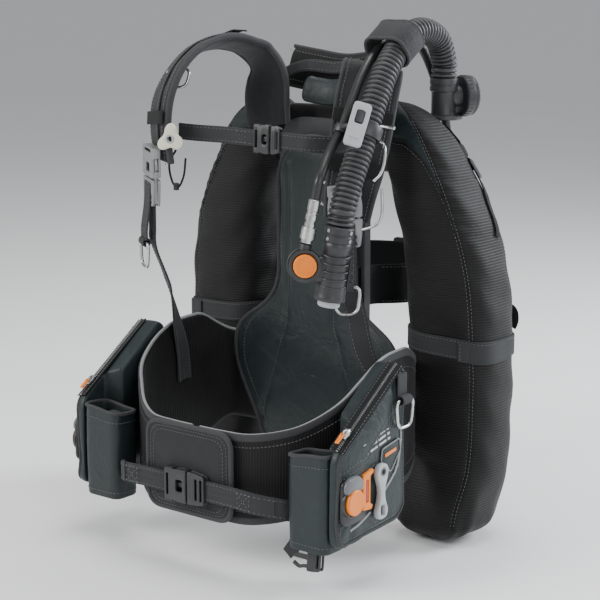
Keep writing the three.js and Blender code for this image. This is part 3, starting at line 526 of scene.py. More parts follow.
# %% Woven finishes
TEAL, TEAL_DEEP = (0.018, 0.0275, 0.0285, 1), (0.008, 0.0125, 0.0135, 1)
# the lighter black serves the cloth's own speckled tone and the painted highlight on its ribs
BLACK, BLACK_TONE_AND_HIGHLIGHT = (0.0035, 0.0035, 0.0038, 1), (0.0115, 0.0102, 0.0098, 1)


def coated_look(u, v, place):
    """Crinkles from two noises, one folded about its middle so that it leaves creases, over a fine plain weave."""
    crease = (clouds(place, 55, 4, 0.55, 0.8) - 0.5).math("ABSOLUTE")
    fold = 1 - crease.step(0.0, 0.09)
    weave = u.wave(0.9) * v.wave(0.9)
    tone = clouds(place, 90, 4)
    dust = clouds(place, 2.2, 2)
    colour = (tone * 0.7 + dust * 0.3 + fold * 0.12).between(TEAL_DEEP, TEAL)
    height = clouds(place, 24, 3) * 1.5 + fold * -0.35 + weave * 0.05
    return {"Base Color": colour, "Roughness": tone * 0.16 + 0.36 + fold * 0.08, "height": height}


def ribbed_look(u, v, place, pitch=3.3):
    """Thick cross ribs of unequal strength, crossed by finer yarns, with a painted highlight on the crest of each
    rib.
    """
    drift = clouds(place, 45, 2) * 1.6
    rib = (v + drift).wave(pitch)
    strand = u.wave(1.5)
    speck = clouds(place, 1.3, 2)
    # rib and strand lighten the crests of ribs and yarns: a painted highlight; speck and clouds are the cloth's
    # own tone
    tone = rib * 0.42 + strand * 0.14 + speck * 0.3 + clouds(place, 70, 3) * 0.25
    height = rib * (0.2 + 0.2 * clouds(place, 12, 2)) + strand * 0.08 + clouds(place, 40, 3) * 1.6
    return {"Base Color": tone.step(0.2, 1.0).between(BLACK, BLACK_TONE_AND_HIGHLIGHT), "Roughness": 0.68 - rib * 0.14,
        "height": height}


def cell_look(u, v, place):
    """Coated cloth where the attribute coated is above nought, ribbed cloth elsewhere."""
    split = place.node("Attribute", {"attribute_name": "coated"}, out=2)
    side = split.step(-0.35, 0.35)
    first, second = ribbed_look(u, v, place), coated_look(u, v, place)
    colour = side.between(first["Base Color"], second["Base Color"])
    blend = {k: first[k] * (1 - side) + second[k] * side for k in ("Roughness", "height")}
    return {"Base Color": colour, **blend}


def webbing_look(low, high):
    """Herringbone: the yarns lean one way and then the other, every 7 mm across the band, each with a painted
    highlight on its crest.
    """
    def paint(u, v, place):
        zig = ((u / 7.0).math("FRACT") - 0.5).math("ABSOLUTE") * 7.0
        yarn = (v + zig * 1.1).wave(1.9)
        lint = clouds(place, 1.1, 2)
        # yarn lightens each yarn's crest: a painted highlight; lint and clouds are the band's own tone
        tone = yarn * 0.45 + lint * 0.3 + clouds(place, 40, 3) * 0.3
        return {
            "Base Color": tone.between(low, high),
            "Roughness": 0.84 - yarn * 0.12,
            "height": yarn * 0.24 + lint * 0.1 + clouds(place, 14, 2) * 0.3,
        }
    return paint


def spacer_look(u, v, place):
    """A padded strap's top cloth: close pin dots in rows, each a small hollow darkened by painted shade."""
    cells = {"Vector": place, "Scale": 0.42, "Randomness": 0.32}
    dot = place.node("TexVoronoi", inputs=cells).step(0.12, 0.5)
    # dot darkens the middle of each hollow: painted shade
    tone = dot * 0.5 + clouds(place, 26, 4) * 0.35 + clouds(place, 1.4, 1) * 0.2
    height = dot * 0.3 + clouds(place, 20, 3) * 1.2
    return {"Base Color": tone.between((0.006, 0.0063, 0.007, 1), (0.022, 0.0225, 0.024, 1)),
        "Roughness": 0.8 - dot * 0.08, "height": height}


coated = finish("coated_nylon", coated_look, Specular_IOR_Level=0.32, Sheen_Weight=0.03, Coat_Weight=0.08,
    Coat_Roughness=0.4)
ribbed = finish("ribbed_nylon", ribbed_look, Specular_IOR_Level=0.22, Sheen_Weight=0.06, Sheen_Roughness=0.5)
cell_cloth = finish("cell_cloth", cell_look, Specular_IOR_Level=0.22, Sheen_Weight=0.06, Sheen_Roughness=0.5)
webbing = finish("charcoal_webbing", webbing_look((0.011, 0.0115, 0.0125, 1), (0.046, 0.048, 0.05, 1)),
    Sheen_Weight=0.06, Specular_IOR_Level=0.25)
black_webbing = finish("black_webbing", webbing_look((0.004, 0.004, 0.0045, 1), (0.015, 0.015, 0.016, 1)),
    Sheen_Weight=0.05, Specular_IOR_Level=0.2)
binding = finish("edge_binding", webbing_look((0.018, 0.0185, 0.02, 1), (0.062, 0.064, 0.067, 1)),
    Sheen_Weight=0.06, Specular_IOR_Level=0.25)
piping = finish("light_piping", webbing_look((0.12, 0.122, 0.125, 1), (0.33, 0.335, 0.34, 1)),
    Sheen_Weight=0.2)
spacer = finish("spacer_cloth", spacer_look, Specular_IOR_Level=0.22, Sheen_Weight=0.08, Sheen_Roughness=0.6)


def thread_look(u, v, place):
    """Bonded thread: its colour drifts a little and its plies catch the light."""
    return {"Base Color": clouds(place, 3).between((0.05, 0.051, 0.053, 1), (0.15, 0.152, 0.155, 1)),
        "Roughness": clouds(place, 1) * 0.2 + 0.45}


thread = finish("bonded_thread", thread_look)

# %% [markdown]
# Moulded parts and metals. Nylon buckles have a fine grain, slightly shinier where hands rub them, with a painted
# highlight along their edges; the steel parts are brushed; the hose is black rubber with a painted highlight on
# its ridges and painted shade in its grooves.

# %% Moulded and metal finishes
def moulded_look(low, high, rough=0.42, grain=0.06):
    """Spark-eroded grain, a slow change of tone, and edges that are smoother and carry a painted highlight."""
    def paint(u, v, place):
        edge = edge_highlight(place)
        # edge paints a highlight into the colour along the edges, and makes them smoother
        tone = clouds(place, 22, 3) * 0.6 + clouds(place, 0.9, 2) * 0.3 + edge * 0.5
        gloss = clouds(place, 16, 4) * 0.14 + (rough - 0.07) - edge * 0.08
        return {"Base Color": tone.between(low, high), "Roughness": gloss,
            "height": clouds(place, 0.7, 2) * grain}
    return paint


def rubber_look(u, v, place):
    """Black rubber: a painted highlight on what stands proud and painted shade, near black, in the grooves, from
    the attribute crest, mottled by noise.
    """
    crest = place.node("Attribute", {"attribute_name": "crest"}, out=2)
    dust = clouds(place, 5, 4)
    # painted highlight on the crests, painted shade in the grooves
    tone = crest.step(0.25, 0.95) * (0.55 + 0.45 * dust)
    return {
        "Base Color": tone.between((0.004, 0.004, 0.0042, 1), (0.04, 0.042, 0.044, 1)),
        "Roughness": dust * 0.2 + 0.42,
        "height": clouds(place, 1.6, 3) * 0.12,
    }


def steel_look(bright, rough):
    """Steel brushed one way, with smears."""
    def paint(u, v, place):
        turned_place = place.node("Mapping", inputs={0: place, 3: (0.08, 0.08, 1.6)})
        lines = clouds(turned_place, 1.2, 2)
        smear = clouds(place, 12, 3)
        tone = lines * 0.5 + smear * 0.5
        dark = tuple(0.72 * c for c in bright[:3]) + (1,)
        return {"Base Color": tone.between(dark, bright), "Roughness": smear * 0.18 + lines * 0.08 + rough,
            "height": lines * 0.03}
    return paint


dark_plastic = finish("dark_plastic", moulded_look((0.012, 0.0125, 0.0135, 1), (0.038, 0.039, 0.041, 1)))
black_plastic = finish("black_plastic", moulded_look((0.007, 0.007, 0.0075, 1), (0.02, 0.02, 0.021, 1), 0.36))
silver_plastic = finish("silver_plastic", moulded_look((0.17, 0.175, 0.18, 1), (0.34, 0.345, 0.35, 1), 0.36),
    Metallic=0.35)
grey_plastic = finish("grey_plastic", moulded_look((0.085, 0.09, 0.097, 1), (0.17, 0.175, 0.185, 1), 0.4))
clip_plastic = finish("clip_plastic", moulded_look((0.30, 0.31, 0.325, 1), (0.47, 0.48, 0.49, 1), 0.38))
orange = finish("orange_plastic", moulded_look((0.72, 0.15, 0.003, 1), (0.9, 0.25, 0.008, 1), 0.34))
red = finish("red_plastic", moulded_look((0.28, 0.02, 0.012, 1), (0.42, 0.05, 0.03, 1), 0.38))
ivory = finish("ivory_plastic", moulded_look((0.58, 0.54, 0.42, 1), (0.78, 0.75, 0.64, 1), 0.36))
board = finish("plate_plastic", moulded_look((0.016, 0.017, 0.019, 1), (0.04, 0.042, 0.045, 1), 0.5, 0.16))
rubber = finish("hose_rubber", rubber_look)
smooth_rubber = finish("smooth_rubber", moulded_look((0.008, 0.008, 0.0085, 1), (0.03, 0.03, 0.031, 1), 0.34,
    0.1))
steel = finish("brushed_steel", steel_look((0.62, 0.62, 0.61, 1), 0.16), Metallic=1.0)
dull_steel = finish("dull_steel", steel_look((0.36, 0.36, 0.36, 1), 0.3), Metallic=1.0)


def label_look(u, v, place):
    """A woven label of pale bars on black, which say nothing: bars across v, cut by a gap along u."""
    bar = v.wave(6.2).step(0.55, 0.62)
    gap = (u / 17.0).math("FRACT").step(0.16, 0.2)
    ink = bar * gap
    return {"Base Color": ink.between((0.008, 0.008, 0.009, 1), (0.42, 0.43, 0.44, 1)),
        "Roughness": 0.6 - ink * 0.1, "height": u.wave(0.8) * 0.05 + ink * 0.08}


label = finish("plain_label", label_look)


def floor_look(u, v, place):
    return {"Base Color": clouds(place, 300, 3).between(grey(0.86), grey(0.9)),
        "Roughness": clouds(place, 60, 2) * 0.1 + 0.55}


paper = finish("pale_floor", floor_look)
print(len(bpy.data.materials), "finishes")

# %% The floor
FLOOR_Z = cad_low[2] * 1000 - 0.5
spread = np.linspace(-60000, 60000, 13)
grid = np.stack([*np.meshgrid(spread, spread, indexing="ij"), np.full((13, 13), FLOOR_Z)], -1)
ground = piece("floor", [(skin(grid, grid[..., :2], wrap=False), paper)])
print("floor at", round(FLOOR_Z, 2), "mm")

# %% [markdown]
# ## The hoses
# Two hoses come over the left shoulder. The thick one carries breath between the air cell and the hand piece;
# its
# wall is folded into rings so that it bends without kinking. It could be an array of rings on a curve, but
# one
# swept grid whose radius rises and falls with the distance walked stays a single clean skin. The thin one
# brings
# tank air. It runs free from the coupler to its steel end, and its length is printed.

# %% The inflator's own frame, and the thin hose
ELBOW = np.array([130.0, 80.0, 0.0])
hand = seat((134, -139, 383), (0.788, 0.616, 0), (0.616, -0.788, 0), 0.14)


def on(matrix, *points):
    """Points of a local frame in the pattern's numbers."""
    return np.atleast_2d(np.array(points, float)) @ matrix[:3, :3].T + matrix[:3, 3]


CLEAR = 0.4  # the gap left between parts that touch
inlet, coupler_top = np.array([-35.0, -5, 4]), np.array([-32.0, 46, 4])
reach_up = np.linalg.norm(coupler_top - inlet)
above = [inlet + (coupler_top - inlet) * t for t in (1 + CLEAR / reach_up, 1.2, 1.4)]
thin_points = np.vstack([on(hand, *above), [
    (114, -127, 484), (115, -107, 507), (114, -90, 531), (111, -68, 558), (109, -46, 580), (107, -18, 598),
    (105, 10, 606), (104, 40, 606), (103, 74, 588), (103, 104, 548), (105, 124, 500), (108, 128, 440),
    (108, 128, 372)]])
thin_line = route(thin_points, 260)
THIN = 5.5
thin_hose = piece("tank_hose", [(tube(thin_line, THIN, (1, 0, 0), 20), smooth_rubber)],
    stands_for=["lp_hose"])
thin_length = walked(thin_line)[-1]
thin_length / 1000
print("thin hose", round(float(thin_length)), "mm long")

# %% The ribbed hose
thick_points = np.vstack([
    [(130, 80, 556.4), (130, 80, 564), (130, 80, 574), (130, 65, 602), (130, 32, 614), (130, 0, 608),
    (132, -23, 593),
     (134, -46, 573), (136, -67, 547), (137, -84, 520), (138, -103, 485), (138, -122, 450)],
    on(hand, (0, 36, 0), (0, 28, 0), (0, 20.4, 0))])
FOLD, TOP_R, ROOT_R = 5.9, 15.4, 13.1
thick_length = walked(route(thick_points, 400))[-1]
folds = int(thick_length / FOLD)
thick_line = route(thick_points, folds * 9 + 1)


def folded_radius(distance):
    """Flat-topped folds: the radius rises between root and top with tanh of a cosine, and is even at the ends."""
    turn_at = np.cos(TAU * distance / FOLD)
    ridge = 0.5 - 0.5 * np.tanh(2.6 * (turn_at - 0.34)) / np.tanh(2.6 * 1.34)
    ridge = np.clip(ridge, 0, 1)
    return ROOT_R + (TOP_R - ROOT_R) * ridge, ridge


far = walked(thick_line)
radius, ridge = folded_radius(far)
thick_skin = tube(thick_line, radius, (1, 0, 0), 44)
thick_hose = piece("breathing_hose", [(thick_skin, rubber)], stands_for=["corrugated_hose"],
    sharp=75)


def mark(made, name, values):
    """Stores one number for each point of a mesh."""
    layer = made.data.attributes.new(name, "FLOAT", "POINT")
    layer.data.foreach_set("value", np.asarray(values, np.float32))


def nearest(points, line):
    """The distance from each point to the nearest of a line's points, and that point's number."""
    near, which = np.empty(len(points)), np.empty(len(points), int)
    for k in range(0, len(points), 4000):
        gap = ((points[k:k + 4000, None] - line[None]) ** 2).sum(2)
        which[k:k + 4000] = gap.argmin(1)
        near[k:k + 4000] = np.sqrt(gap.min(1))
    return near, which


# crest is how far each point stands out; hose_rubber turns it into a painted highlight on the ridges and painted
# shade in the grooves
mark(thick_hose, "crest", (nearest(places(thick_hose), thick_line)[0] - ROOT_R) / (TOP_R - ROOT_R))
print("ribbed hose", round(float(far[-1])), "mm long with", folds, "folds")

# %% [markdown]
# ## The hand piece
# The power inflator is a short pistol of moulded nylon: an upright barrel with a blowing button under it, a
# round
# boss in front for the orange air button, and an inlet at its side for the steel coupler. Each of its masses
# is
# a turned or swept skin, and they cross inside each other as the mould's cores would.

# %% Turned parts along a line
def lathe(at, way, profile, count=40, facing=(0.3, 1, 0.2)):
    """A turned part set on a point with its axis along a way."""
    z = unit(way)
    x = unit(np.cross(facing, z))
    m = np.eye(4)
    m[:3, 0], m[:3, 1], m[:3, 2], m[:3, 3] = x, np.cross(z, x), z, at
    return moved(turned(profile, count), m)


def disc_profile(radius, low, high, edge=1.2, dish=0.0):
    """A disc from low to high with a rounded edge, and a top that is dished or crowned by a parabola."""
    a = np.linspace(0, math.pi / 2, 5)
    top = np.stack([radius - edge + edge * np.sin(a), high - edge + edge * np.cos(a)], 1)[::-1]
    low_edge = np.stack([radius - edge + edge * np.cos(a), low + edge - edge * np.sin(a)], 1)[::-1]
    flat = np.linspace(radius - edge, 0.01, 6)[1:]
    crown = np.stack([flat, high + dish * (1 - (flat / radius) ** 2)], 1)
    base = np.stack([flat[::-1], np.full(5, low)], 1)
    return np.vstack([base, low_edge, top, crown])


def ring_profile(inner, outer, low, high, edge=0.8):
    """A band's section for turning: a rectangle with its corners rounded, closed on itself."""
    box = rounded(block(outer - inner, high - low, (inner + outer) / 2, (low + high) / 2), edge, 3)
    return np.vstack([box, box[:1]])


def hoop(profile, count=48):
    """A turned ring: its profile is a closed loop away from the axis."""
    p = np.asarray(profile, float)[:-1]
    a = np.arange(count) * TAU / count
    grid = np.stack([p[None, :, 0] * np.cos(a)[:, None], p[None, :, 0] * np.sin(a)[:, None],
                     np.broadcast_to(p[None, :, 1], (count, len(p)))], -1)
    loop = walked(np.vstack([p, p[:1]]))
    uv = np.stack(np.broadcast_arrays(loop[None], (np.arange(count + 1) * TAU / count * p[:, 0].max())[:,
        None]), -1)
    return skin(grid, uv, ring=True)


def hoop_at(at, way, profile, count=48):
    """A turned ring set on a point with its axis along a way."""
    z = unit(way)
    x = unit(np.cross((0.3, 1, 0.2), z))
    m = np.eye(4)
    m[:3, 0], m[:3, 1], m[:3, 2], m[:3, 3] = x, np.cross(z, x), z, at
    return moved(hoop(profile, count), m)


hand_up, hand_out = hand[:3, 1], hand[:3, 2]
barrel = [(0.01, 1), (15.4, 1), (16.2, 0), (16.2, -6), (15.2, -8), (15.0, -16), (15.6, -30), (16.6, -44),
    (17.2, -56),
          (17.2, -60), (17.6, -61), (17.6, -65), (17, -66), (14, -66), (13.5, -65.2), (13.5, -49),
          (0.01, -49)]
boss = disc_profile(18.4, -10, 5.2, 2.2)
shield = ring_profile(13.9, 18.4, 4, 13, 1.4)
BOSS = np.array([-33.0, -29.0, 0.0])
bridge_line = on(hand, *[(x, -29 - 3 * math.sin(math.pi * -x / 33), 0) for x in np.linspace(-34, 4, 12)])
bridge_size = np.stack([np.linspace(0.95, 1, 12), 1 + 0.25 * np.linspace(0, 1, 12)], 1)
masses = [
    lathe(on(hand, (0, 0, 0))[0], hand_up, barrel, 48),
    lathe(on(hand, BOSS)[0], hand_out, boss, 48),
    hoop_at(on(hand, BOSS)[0], hand_out, shield),
    sweep(bridge_line, hand_out, oval(32, 21, 4, 32), bridge_size),
]
inlet_way = unit(hand[:3, :3] @ (coupler_top - inlet))
masses.append(lathe(on(hand, inlet)[0], inlet_way, disc_profile(6.8, -22, -0.3, 1.2), 28))
body_parts = [(m, dark_plastic) for m in masses]

# raised rib up the outer side, arcs across the barrel, and grip bars on the side pocket
angle = np.linspace(-2.4, 2.3, 40)
crest_line = on(hand, *[(BOSS[0] + 19.2 * math.cos(a + math.pi), BOSS[1] + 19.2 * math.sin(a + math.pi), 6)
    for a in angle])
body_parts.append((tube(crest_line, 1.5, hand_out, 10), dark_plastic))
for k in range(5):
    a = np.linspace(0.1, math.pi - 0.5, 26)
    height = -12 - 8.6 * k
    bar = on(hand, *np.stack([17 * np.cos(a), height - 3.2 * np.sin(a), 17 * np.sin(a)], 1))
    body_parts.append((tube(bar, 0.95, hand_up, 8), dark_plastic))
for k in range(6):
    z = -7 + 2.8 * k
    bar = on(hand, *[(17.4, y, z) for y in np.linspace(-50, -18, 8)])
    body_parts.append((tube(bar, 0.8, hand_out, 8), black_plastic))
piece("inflator_shell", body_parts, stands_for=["inflator_body"], sharp=42)

# %% Its cuff, coupler and buttons
cuff = [(0.01, 0.5), (15.6, 0.5), (16.9, 1.6), (16.9, 8.6), (16.3, 9.2), (16.3, 10.4), (16.9, 11),
    (16.9, 17.8), (16, 19),
        (14.2, 19.8), (0.01, 19.8)]
cuff_parts = [(lathe(on(hand, (0, 0, 0))[0], hand_up, cuff, 48), dark_plastic)]
for y in (5, 14.4):
    for turn_by in (0.75, 2.35):
        spot = on(hand, (17 * math.cos(turn_by), y, 17 * math.sin(turn_by)))[0]
        way = hand[:3, :3] @ np.array([math.cos(turn_by), 0, math.sin(turn_by)])
        cuff_parts.append((lathe(spot, way, disc_profile(2.3, -2, 1.1, 0.4), 6), dull_steel))
piece("hose_cuff", cuff_parts, sharp=32)


def knurled(length, radius, rows=9, teeth=26):
    """A knurled sleeve: the radius is raised by 0.45 mm where two crossing screws of ridges meet."""
    z = np.linspace(0, length, rows * 4)
    a = np.arange(teeth * 4) * TAU / (teeth * 4)
    z2, a2 = np.meshgrid(z, a, indexing="ij")
    ridge_at = np.abs(np.sin(teeth / 2 * a2 + z2 * 1.5)) * np.abs(np.sin(teeth / 2 * a2 - z2 * 1.5))
    r = radius + 0.5 * ridge_at * dome(z2 / length, 0.08)
    r[0], r[-1] = radius - 1.8, radius - 1.8
    grid = np.stack([r * np.cos(a2), r * np.sin(a2), z2], -1)
    uv = np.zeros((len(z), len(a) + 1, 2))
    return skin(grid, uv)


def axis_matrix(at, way):
    """A frame whose z runs along a way."""
    z = unit(way)
    x = unit(np.cross((0.3, 1, 0.2), z))
    m = np.eye(4)
    m[:3, 0], m[:3, 1], m[:3, 2], m[:3, 3] = x, np.cross(z, x), z, at
    return m


base = on(hand, inlet)[0]
stem = [(0.01, 0.6), (5.6, 0.6), (6.6, 1.2), (6.6, 24), (5.9, 24.6), (5.9, 27), (6.9, 27.6), (6.9, 34),
    (6.2, 34.6),
        (6.2, 38), (6.9, 38.6), (6.9, 50), (6.1, 50.9), (0.01, 50.9)]
piece("coupler_stem", [(lathe(base, inlet_way, stem, 36), steel)], stands_for=["lp_coupler"],
    sharp=30)
sleeve = moved(knurled(14, 8.2), axis_matrix(base + inlet_way * 5.3, inlet_way))
piece("coupler_sleeve", [(sleeve, steel)], "coupler_collar", ["coupler_collar"], 50)
button_at = on(hand, BOSS)[0]
push = disc_profile(13.3, 9.2, 16.9, 1.6, -0.9)
piece("air_button", [(lathe(button_at, hand_out, push, 48), orange), (
    hoop_at(button_at, hand_out, ring_profile(8.2, 9.6, 15.2, 16.9, 0.5)), orange)], "inflate_button",
    ["inflate_button"], 40)
low_at = on(hand, (0, -60.6, 0))[0]
piece("blow_button", [(lathe(low_at + hand_up * 4.6, -hand_up, disc_profile(12.7, 0, 17.6, 2.4, 0.6), 48),
    clip_plastic)],
      "deflate_button", ["deflate_button"], 40)
print("hand piece set at", on(hand, (0, 0, 0)).round(0)[0])

# %% [markdown]
# The hose starts from an elbow on top of the air cell. A round cap on its side is the dump valve: a low dome
# with
# a ring of slots. A padded cloth wrap holds both hoses on the shoulder, and a clip carries the thin one.

# %% Elbow and dump cap
up = np.array([0.0, 0, 1])
elbow = [(0.01, 506.4), (22, 506.4), (23, 507.4), (23, 510.6), (21, 512), (15.6, 512.6), (14.8, 515),
    (14.8, 538), (15.6, 540),
         (17, 541), (17, 546), (16.4, 546.6), (16.4, 548.4), (17, 549), (17, 554.6), (16, 556), (0.01, 556)]
dump_way = unit((0.5, 0.866, 0))
dump_from = ELBOW + (0, 0, 534)
cap = [(0.01, 0), (13, 0), (13, 20), (18, 21), (23.4, 21.6), (24.8, 23), (24.9, 30), (24.2, 33), (24.6, 34),
    (24.2, 36.5),
       (22.4, 38.4), (17, 40.4), (10, 41.5), (0.01, 41.9)]
elbow_parts = [(lathe(ELBOW, up, elbow, 48), dark_plastic), (lathe(dump_from, dump_way, cap, 56),
    dark_plastic)]
frame_cap = axis_matrix(dump_from, dump_way)
for k in range(12):
    a = k * TAU / 12
    slot_line = [(r * math.cos(a), r * math.sin(a), z) for r, z in ((13, 41.0), (17, 40.1), (20.5, 38.9))]
    elbow_parts.append((tube(on(frame_cap, *slot_line), 0.95, dump_way, 8), black_plastic))
for k in range(30):
    a = k * TAU / 30
    grip_line = [(24.8 * math.cos(a), 24.8 * math.sin(a), z) for z in (23.4, 26.4, 29.4)]
    elbow_parts.append((tube(on(frame_cap, *grip_line), 0.6, up, 6), dark_plastic))
piece("shoulder_elbow", elbow_parts, stands_for=["inflator_elbow"], sharp=34)


# %% The wrap and the clip
def wall_loop(outline, wall, length, frame_at):
    """A soft sleeve: a closed outline carried along its axis as a double wall with rounded rims."""
    line = np.asarray(outline, float)
    normal = unit(np.stack([np.gradient(line[:, 1]), -np.gradient(line[:, 0])], 1))
    a = np.linspace(-math.pi / 2, math.pi / 2, 7)
    half = length / 2
    rim = [(wall / 2 * math.sin(t), half - wall / 2 + wall / 2 * math.cos(t)) for t in a]
    rim += [(wall / 2 * math.sin(t), -half + wall / 2 - wall / 2 * math.cos(t)) for t in a[::-1]]
    rim = np.array(rim)
    n, m = len(line), len(rim)
    grid = np.empty((n, m, 3))
    grid[..., :2] = line[:, None] + normal[:, None] * rim[None, :, :1]
    grid[..., 2] = rim[None, :, 1]
    round_it = walked(np.vstack([line, line[:1]]))
    uv = np.stack(np.broadcast_arrays(np.r_[rim[:, 1], rim[0, 1]][None], round_it[:, None]), -1)
    return moved(skin(grid, uv, ring=True), frame_at)


wrap_at = seat((122, -15, 600), (1, 0, 0), (0.05, -0.84, -0.54))
wrap_shape = even(np.vstack([rounded(block(56.5, 39.5), 19, 9), rounded(block(56.5, 39.5), 19, 9)[:1]]),
    97)[:-1]
wrap_shape = wrap_shape * (1 + 0.012 * np.sin(np.arange(96) * TAU / 96 * 5))[:, None]
wrap_parts = [(wall_loop(wrap_shape, 3.2, 36, wrap_at), spacer)]
for end in (-1, 1):
    rim_line = on(wrap_at, *np.column_stack([wrap_shape * 1.008, np.full(96, end * 17.2)]))
    wrap_parts.append((tube(rim_line, 1.9, (0, 0, 1), 10, closed=True), binding))
piece("hose_wrap", wrap_parts, stands_for=["hose_retainer"])
clip_way = unit((0, 0.457, 0.89))
clip_x = unit(np.cross(clip_way, hand[:3, 2]))
clip_at = seat((137.5, -92.5, 504), clip_x, np.cross(clip_x, clip_way))
face = [rounded(block(21, 52, -12, 0), 5), rounded(block(10, 16, -12, 9), 3)]
clip_parts = [
    (moved(plate(face, 6, 1.1, 19.6), clip_at), clip_plastic),
    (moved(plate([rounded(block(9, 14, -12, 9), 2.6)], 5, 1.0, 20.2), clip_at), dark_plastic),
    (moved(plate([rounded(block(12, 5, -12, -14), 1.6)], 2.4, 0.6, 22.6), clip_at), clip_plastic),
    (hoop_at((137.5, -92.5, 504), clip_way, ring_profile(16.4, 19.6, -7.6, 7.6, 1)), dark_plastic),
    (hoop_at(on(clip_at, (-25, -4, -4.5))[0], clip_way, ring_profile(6.6, 10, -4.4, 4.4, 1), 32),
    dark_plastic),
    (sweep(on(clip_at, (-23, -4, 0), (-24, -4, 8), (-22, -4, 15), (-17, -4, 19)), clip_way,
    oval(9, 5, 4, 16)), dark_plastic),
]
piece("hose_clip_set", clip_parts, stands_for=["hose_clip"], sharp=34)
print("hoses held")

# %% [markdown]
# ## The air cell
# Two long lobes of cloth over a bladder carry the lift. A lobe could be a stretched ball, but a sewn cell has
# flat
# panels that meet at soft corners, so each level is a superellipse, and the levels are lofted on a smooth
# curve.
# Then it is blown up as cloth, held along its seams, which gives the slack and the puckers of a real cell.

# %% A lobe's levels
LEVELS = np.array([
    (0, 124, 216, -14, 74), (10, 117, 224, -18, 86), (46, 112, 232, -14, 98), (100, 112, 236, 7.4, 108),
    (270, 112, 236, 7.4, 108), (340, 108, 228, 3.4, 106), (400, 98, 208, 0.4, 100), (450, 84, 184, 0.4, 90),
    (495, 70, 156, 2.4, 74), (530, 64, 124, 8.4, 56)], float)
lofted = route(LEVELS, 132)
POWER = 3.3


def level_at(z):
    """Centre and half size, across and deep, of the lobe at some heights."""
    x0, x1, y0, y1 = (np.interp(z, lofted[:, 0], lofted[:, k]) for k in range(1, 5))
    return (x0 + x1) / 2, (x1 - x0) / 2, (y0 + y1) / 2, (y1 - y0) / 2


def bearing(points):
    """Where a point lies round the lobe, in degrees: 0 is the outer side, -90 the front and 90 the back."""
    cx, hx, cy, hy = level_at(points[:, 2])
    x, y = (points[:, 0] - cx) / hx, (points[:, 1] - cy) / hy
    lift = lambda f: np.sign(f) * np.abs(f) ** (POWER / 2)
    return np.degrees(np.arctan2(lift(y), lift(x)))


def on_lobe(z, angle):
    """A point of the lobe's skin at a height and a bearing, by the superellipse formula."""
    cx, hx, cy, hy = level_at(z)
    c, s = np.cos(np.radians(angle)), np.sin(np.radians(angle))
    curl = lambda f: np.sign(f) * np.abs(f) ** (2 / POWER)
    return np.stack([cx + hx * curl(c), cy + hy * curl(s), z], -1)


TOP_SEAM = np.array([(-180, 486), (-110, 492), (-87, 485), (-71, 466), (-63, 440), (-58.6, 412), (-56, 362)],
    float)
FRONT_SEAM, BACK_SEAM, INNER_SEAM = -56.0, 38.0, 152.0


def coated_share(points):
    """How far inside the coated panels a point is, in mm: the shoulder panel in front of the side seam and above
    the curved seam, and the back panel behind its own seam."""
    angle = bearing(points)
    above = points[:, 2] - np.interp(angle, TOP_SEAM[:, 0], TOP_SEAM[:, 1])
    fore = np.minimum(above, (FRONT_SEAM - angle) * 1.1)
    aft = np.minimum((angle - BACK_SEAM) * 1.2, (INNER_SEAM - angle) * 1.2)
    return np.clip(np.maximum(fore, aft), -40, 40)


# %% Both lobes, blown up
around = 76
ring_angles = np.arange(around) * 360 / around
near_bottom = np.clip((lofted[:, 0]) / 26, 0, 1)
near_top = np.clip((530 - lofted[:, 0]) / 24, 0, 1)
round_off = np.sqrt(1 - (1 - np.minimum(near_bottom, near_top)) ** 2) * 0.985 + 0.015
skin_grid = on_lobe(np.repeat(lofted[:, 0], around).reshape(-1, around),
    np.tile(ring_angles, (len(lofted), 1)))
middles = skin_grid.mean(1, keepdims=True)
shrink = (round_off * 0.955)[:, None, None]
skin_grid = np.concatenate([(middles + (skin_grid - middles) * shrink)[..., :2], skin_grid[..., 2:]], 2)
girth = walked(np.vstack([skin_grid[60], skin_grid[60][:1]]))
cloth_uv = np.stack(np.broadcast_arrays(girth[None], lofted[:, :1]), -1)
lobe_skin = skin(skin_grid, cloth_uv)


def lobe_held(points):
    """The lobe is held at its ends and within 3 mm of its seams."""
    p = points * (np.sign(points[:, :1]) * [1, 0, 0] + [0, 1, 1])
    angle = bearing(p)
    at_seam = (np.abs(angle - FRONT_SEAM) < 3) | (np.abs(angle - BACK_SEAM) < 3) | (np.abs(angle
        - INNER_SEAM) < 4)
    strap = (np.abs(p[:, 2] - 243) < 15) | (p[:, 2] < 14) | (p[:, 2] > 518)
    return at_seam | strap


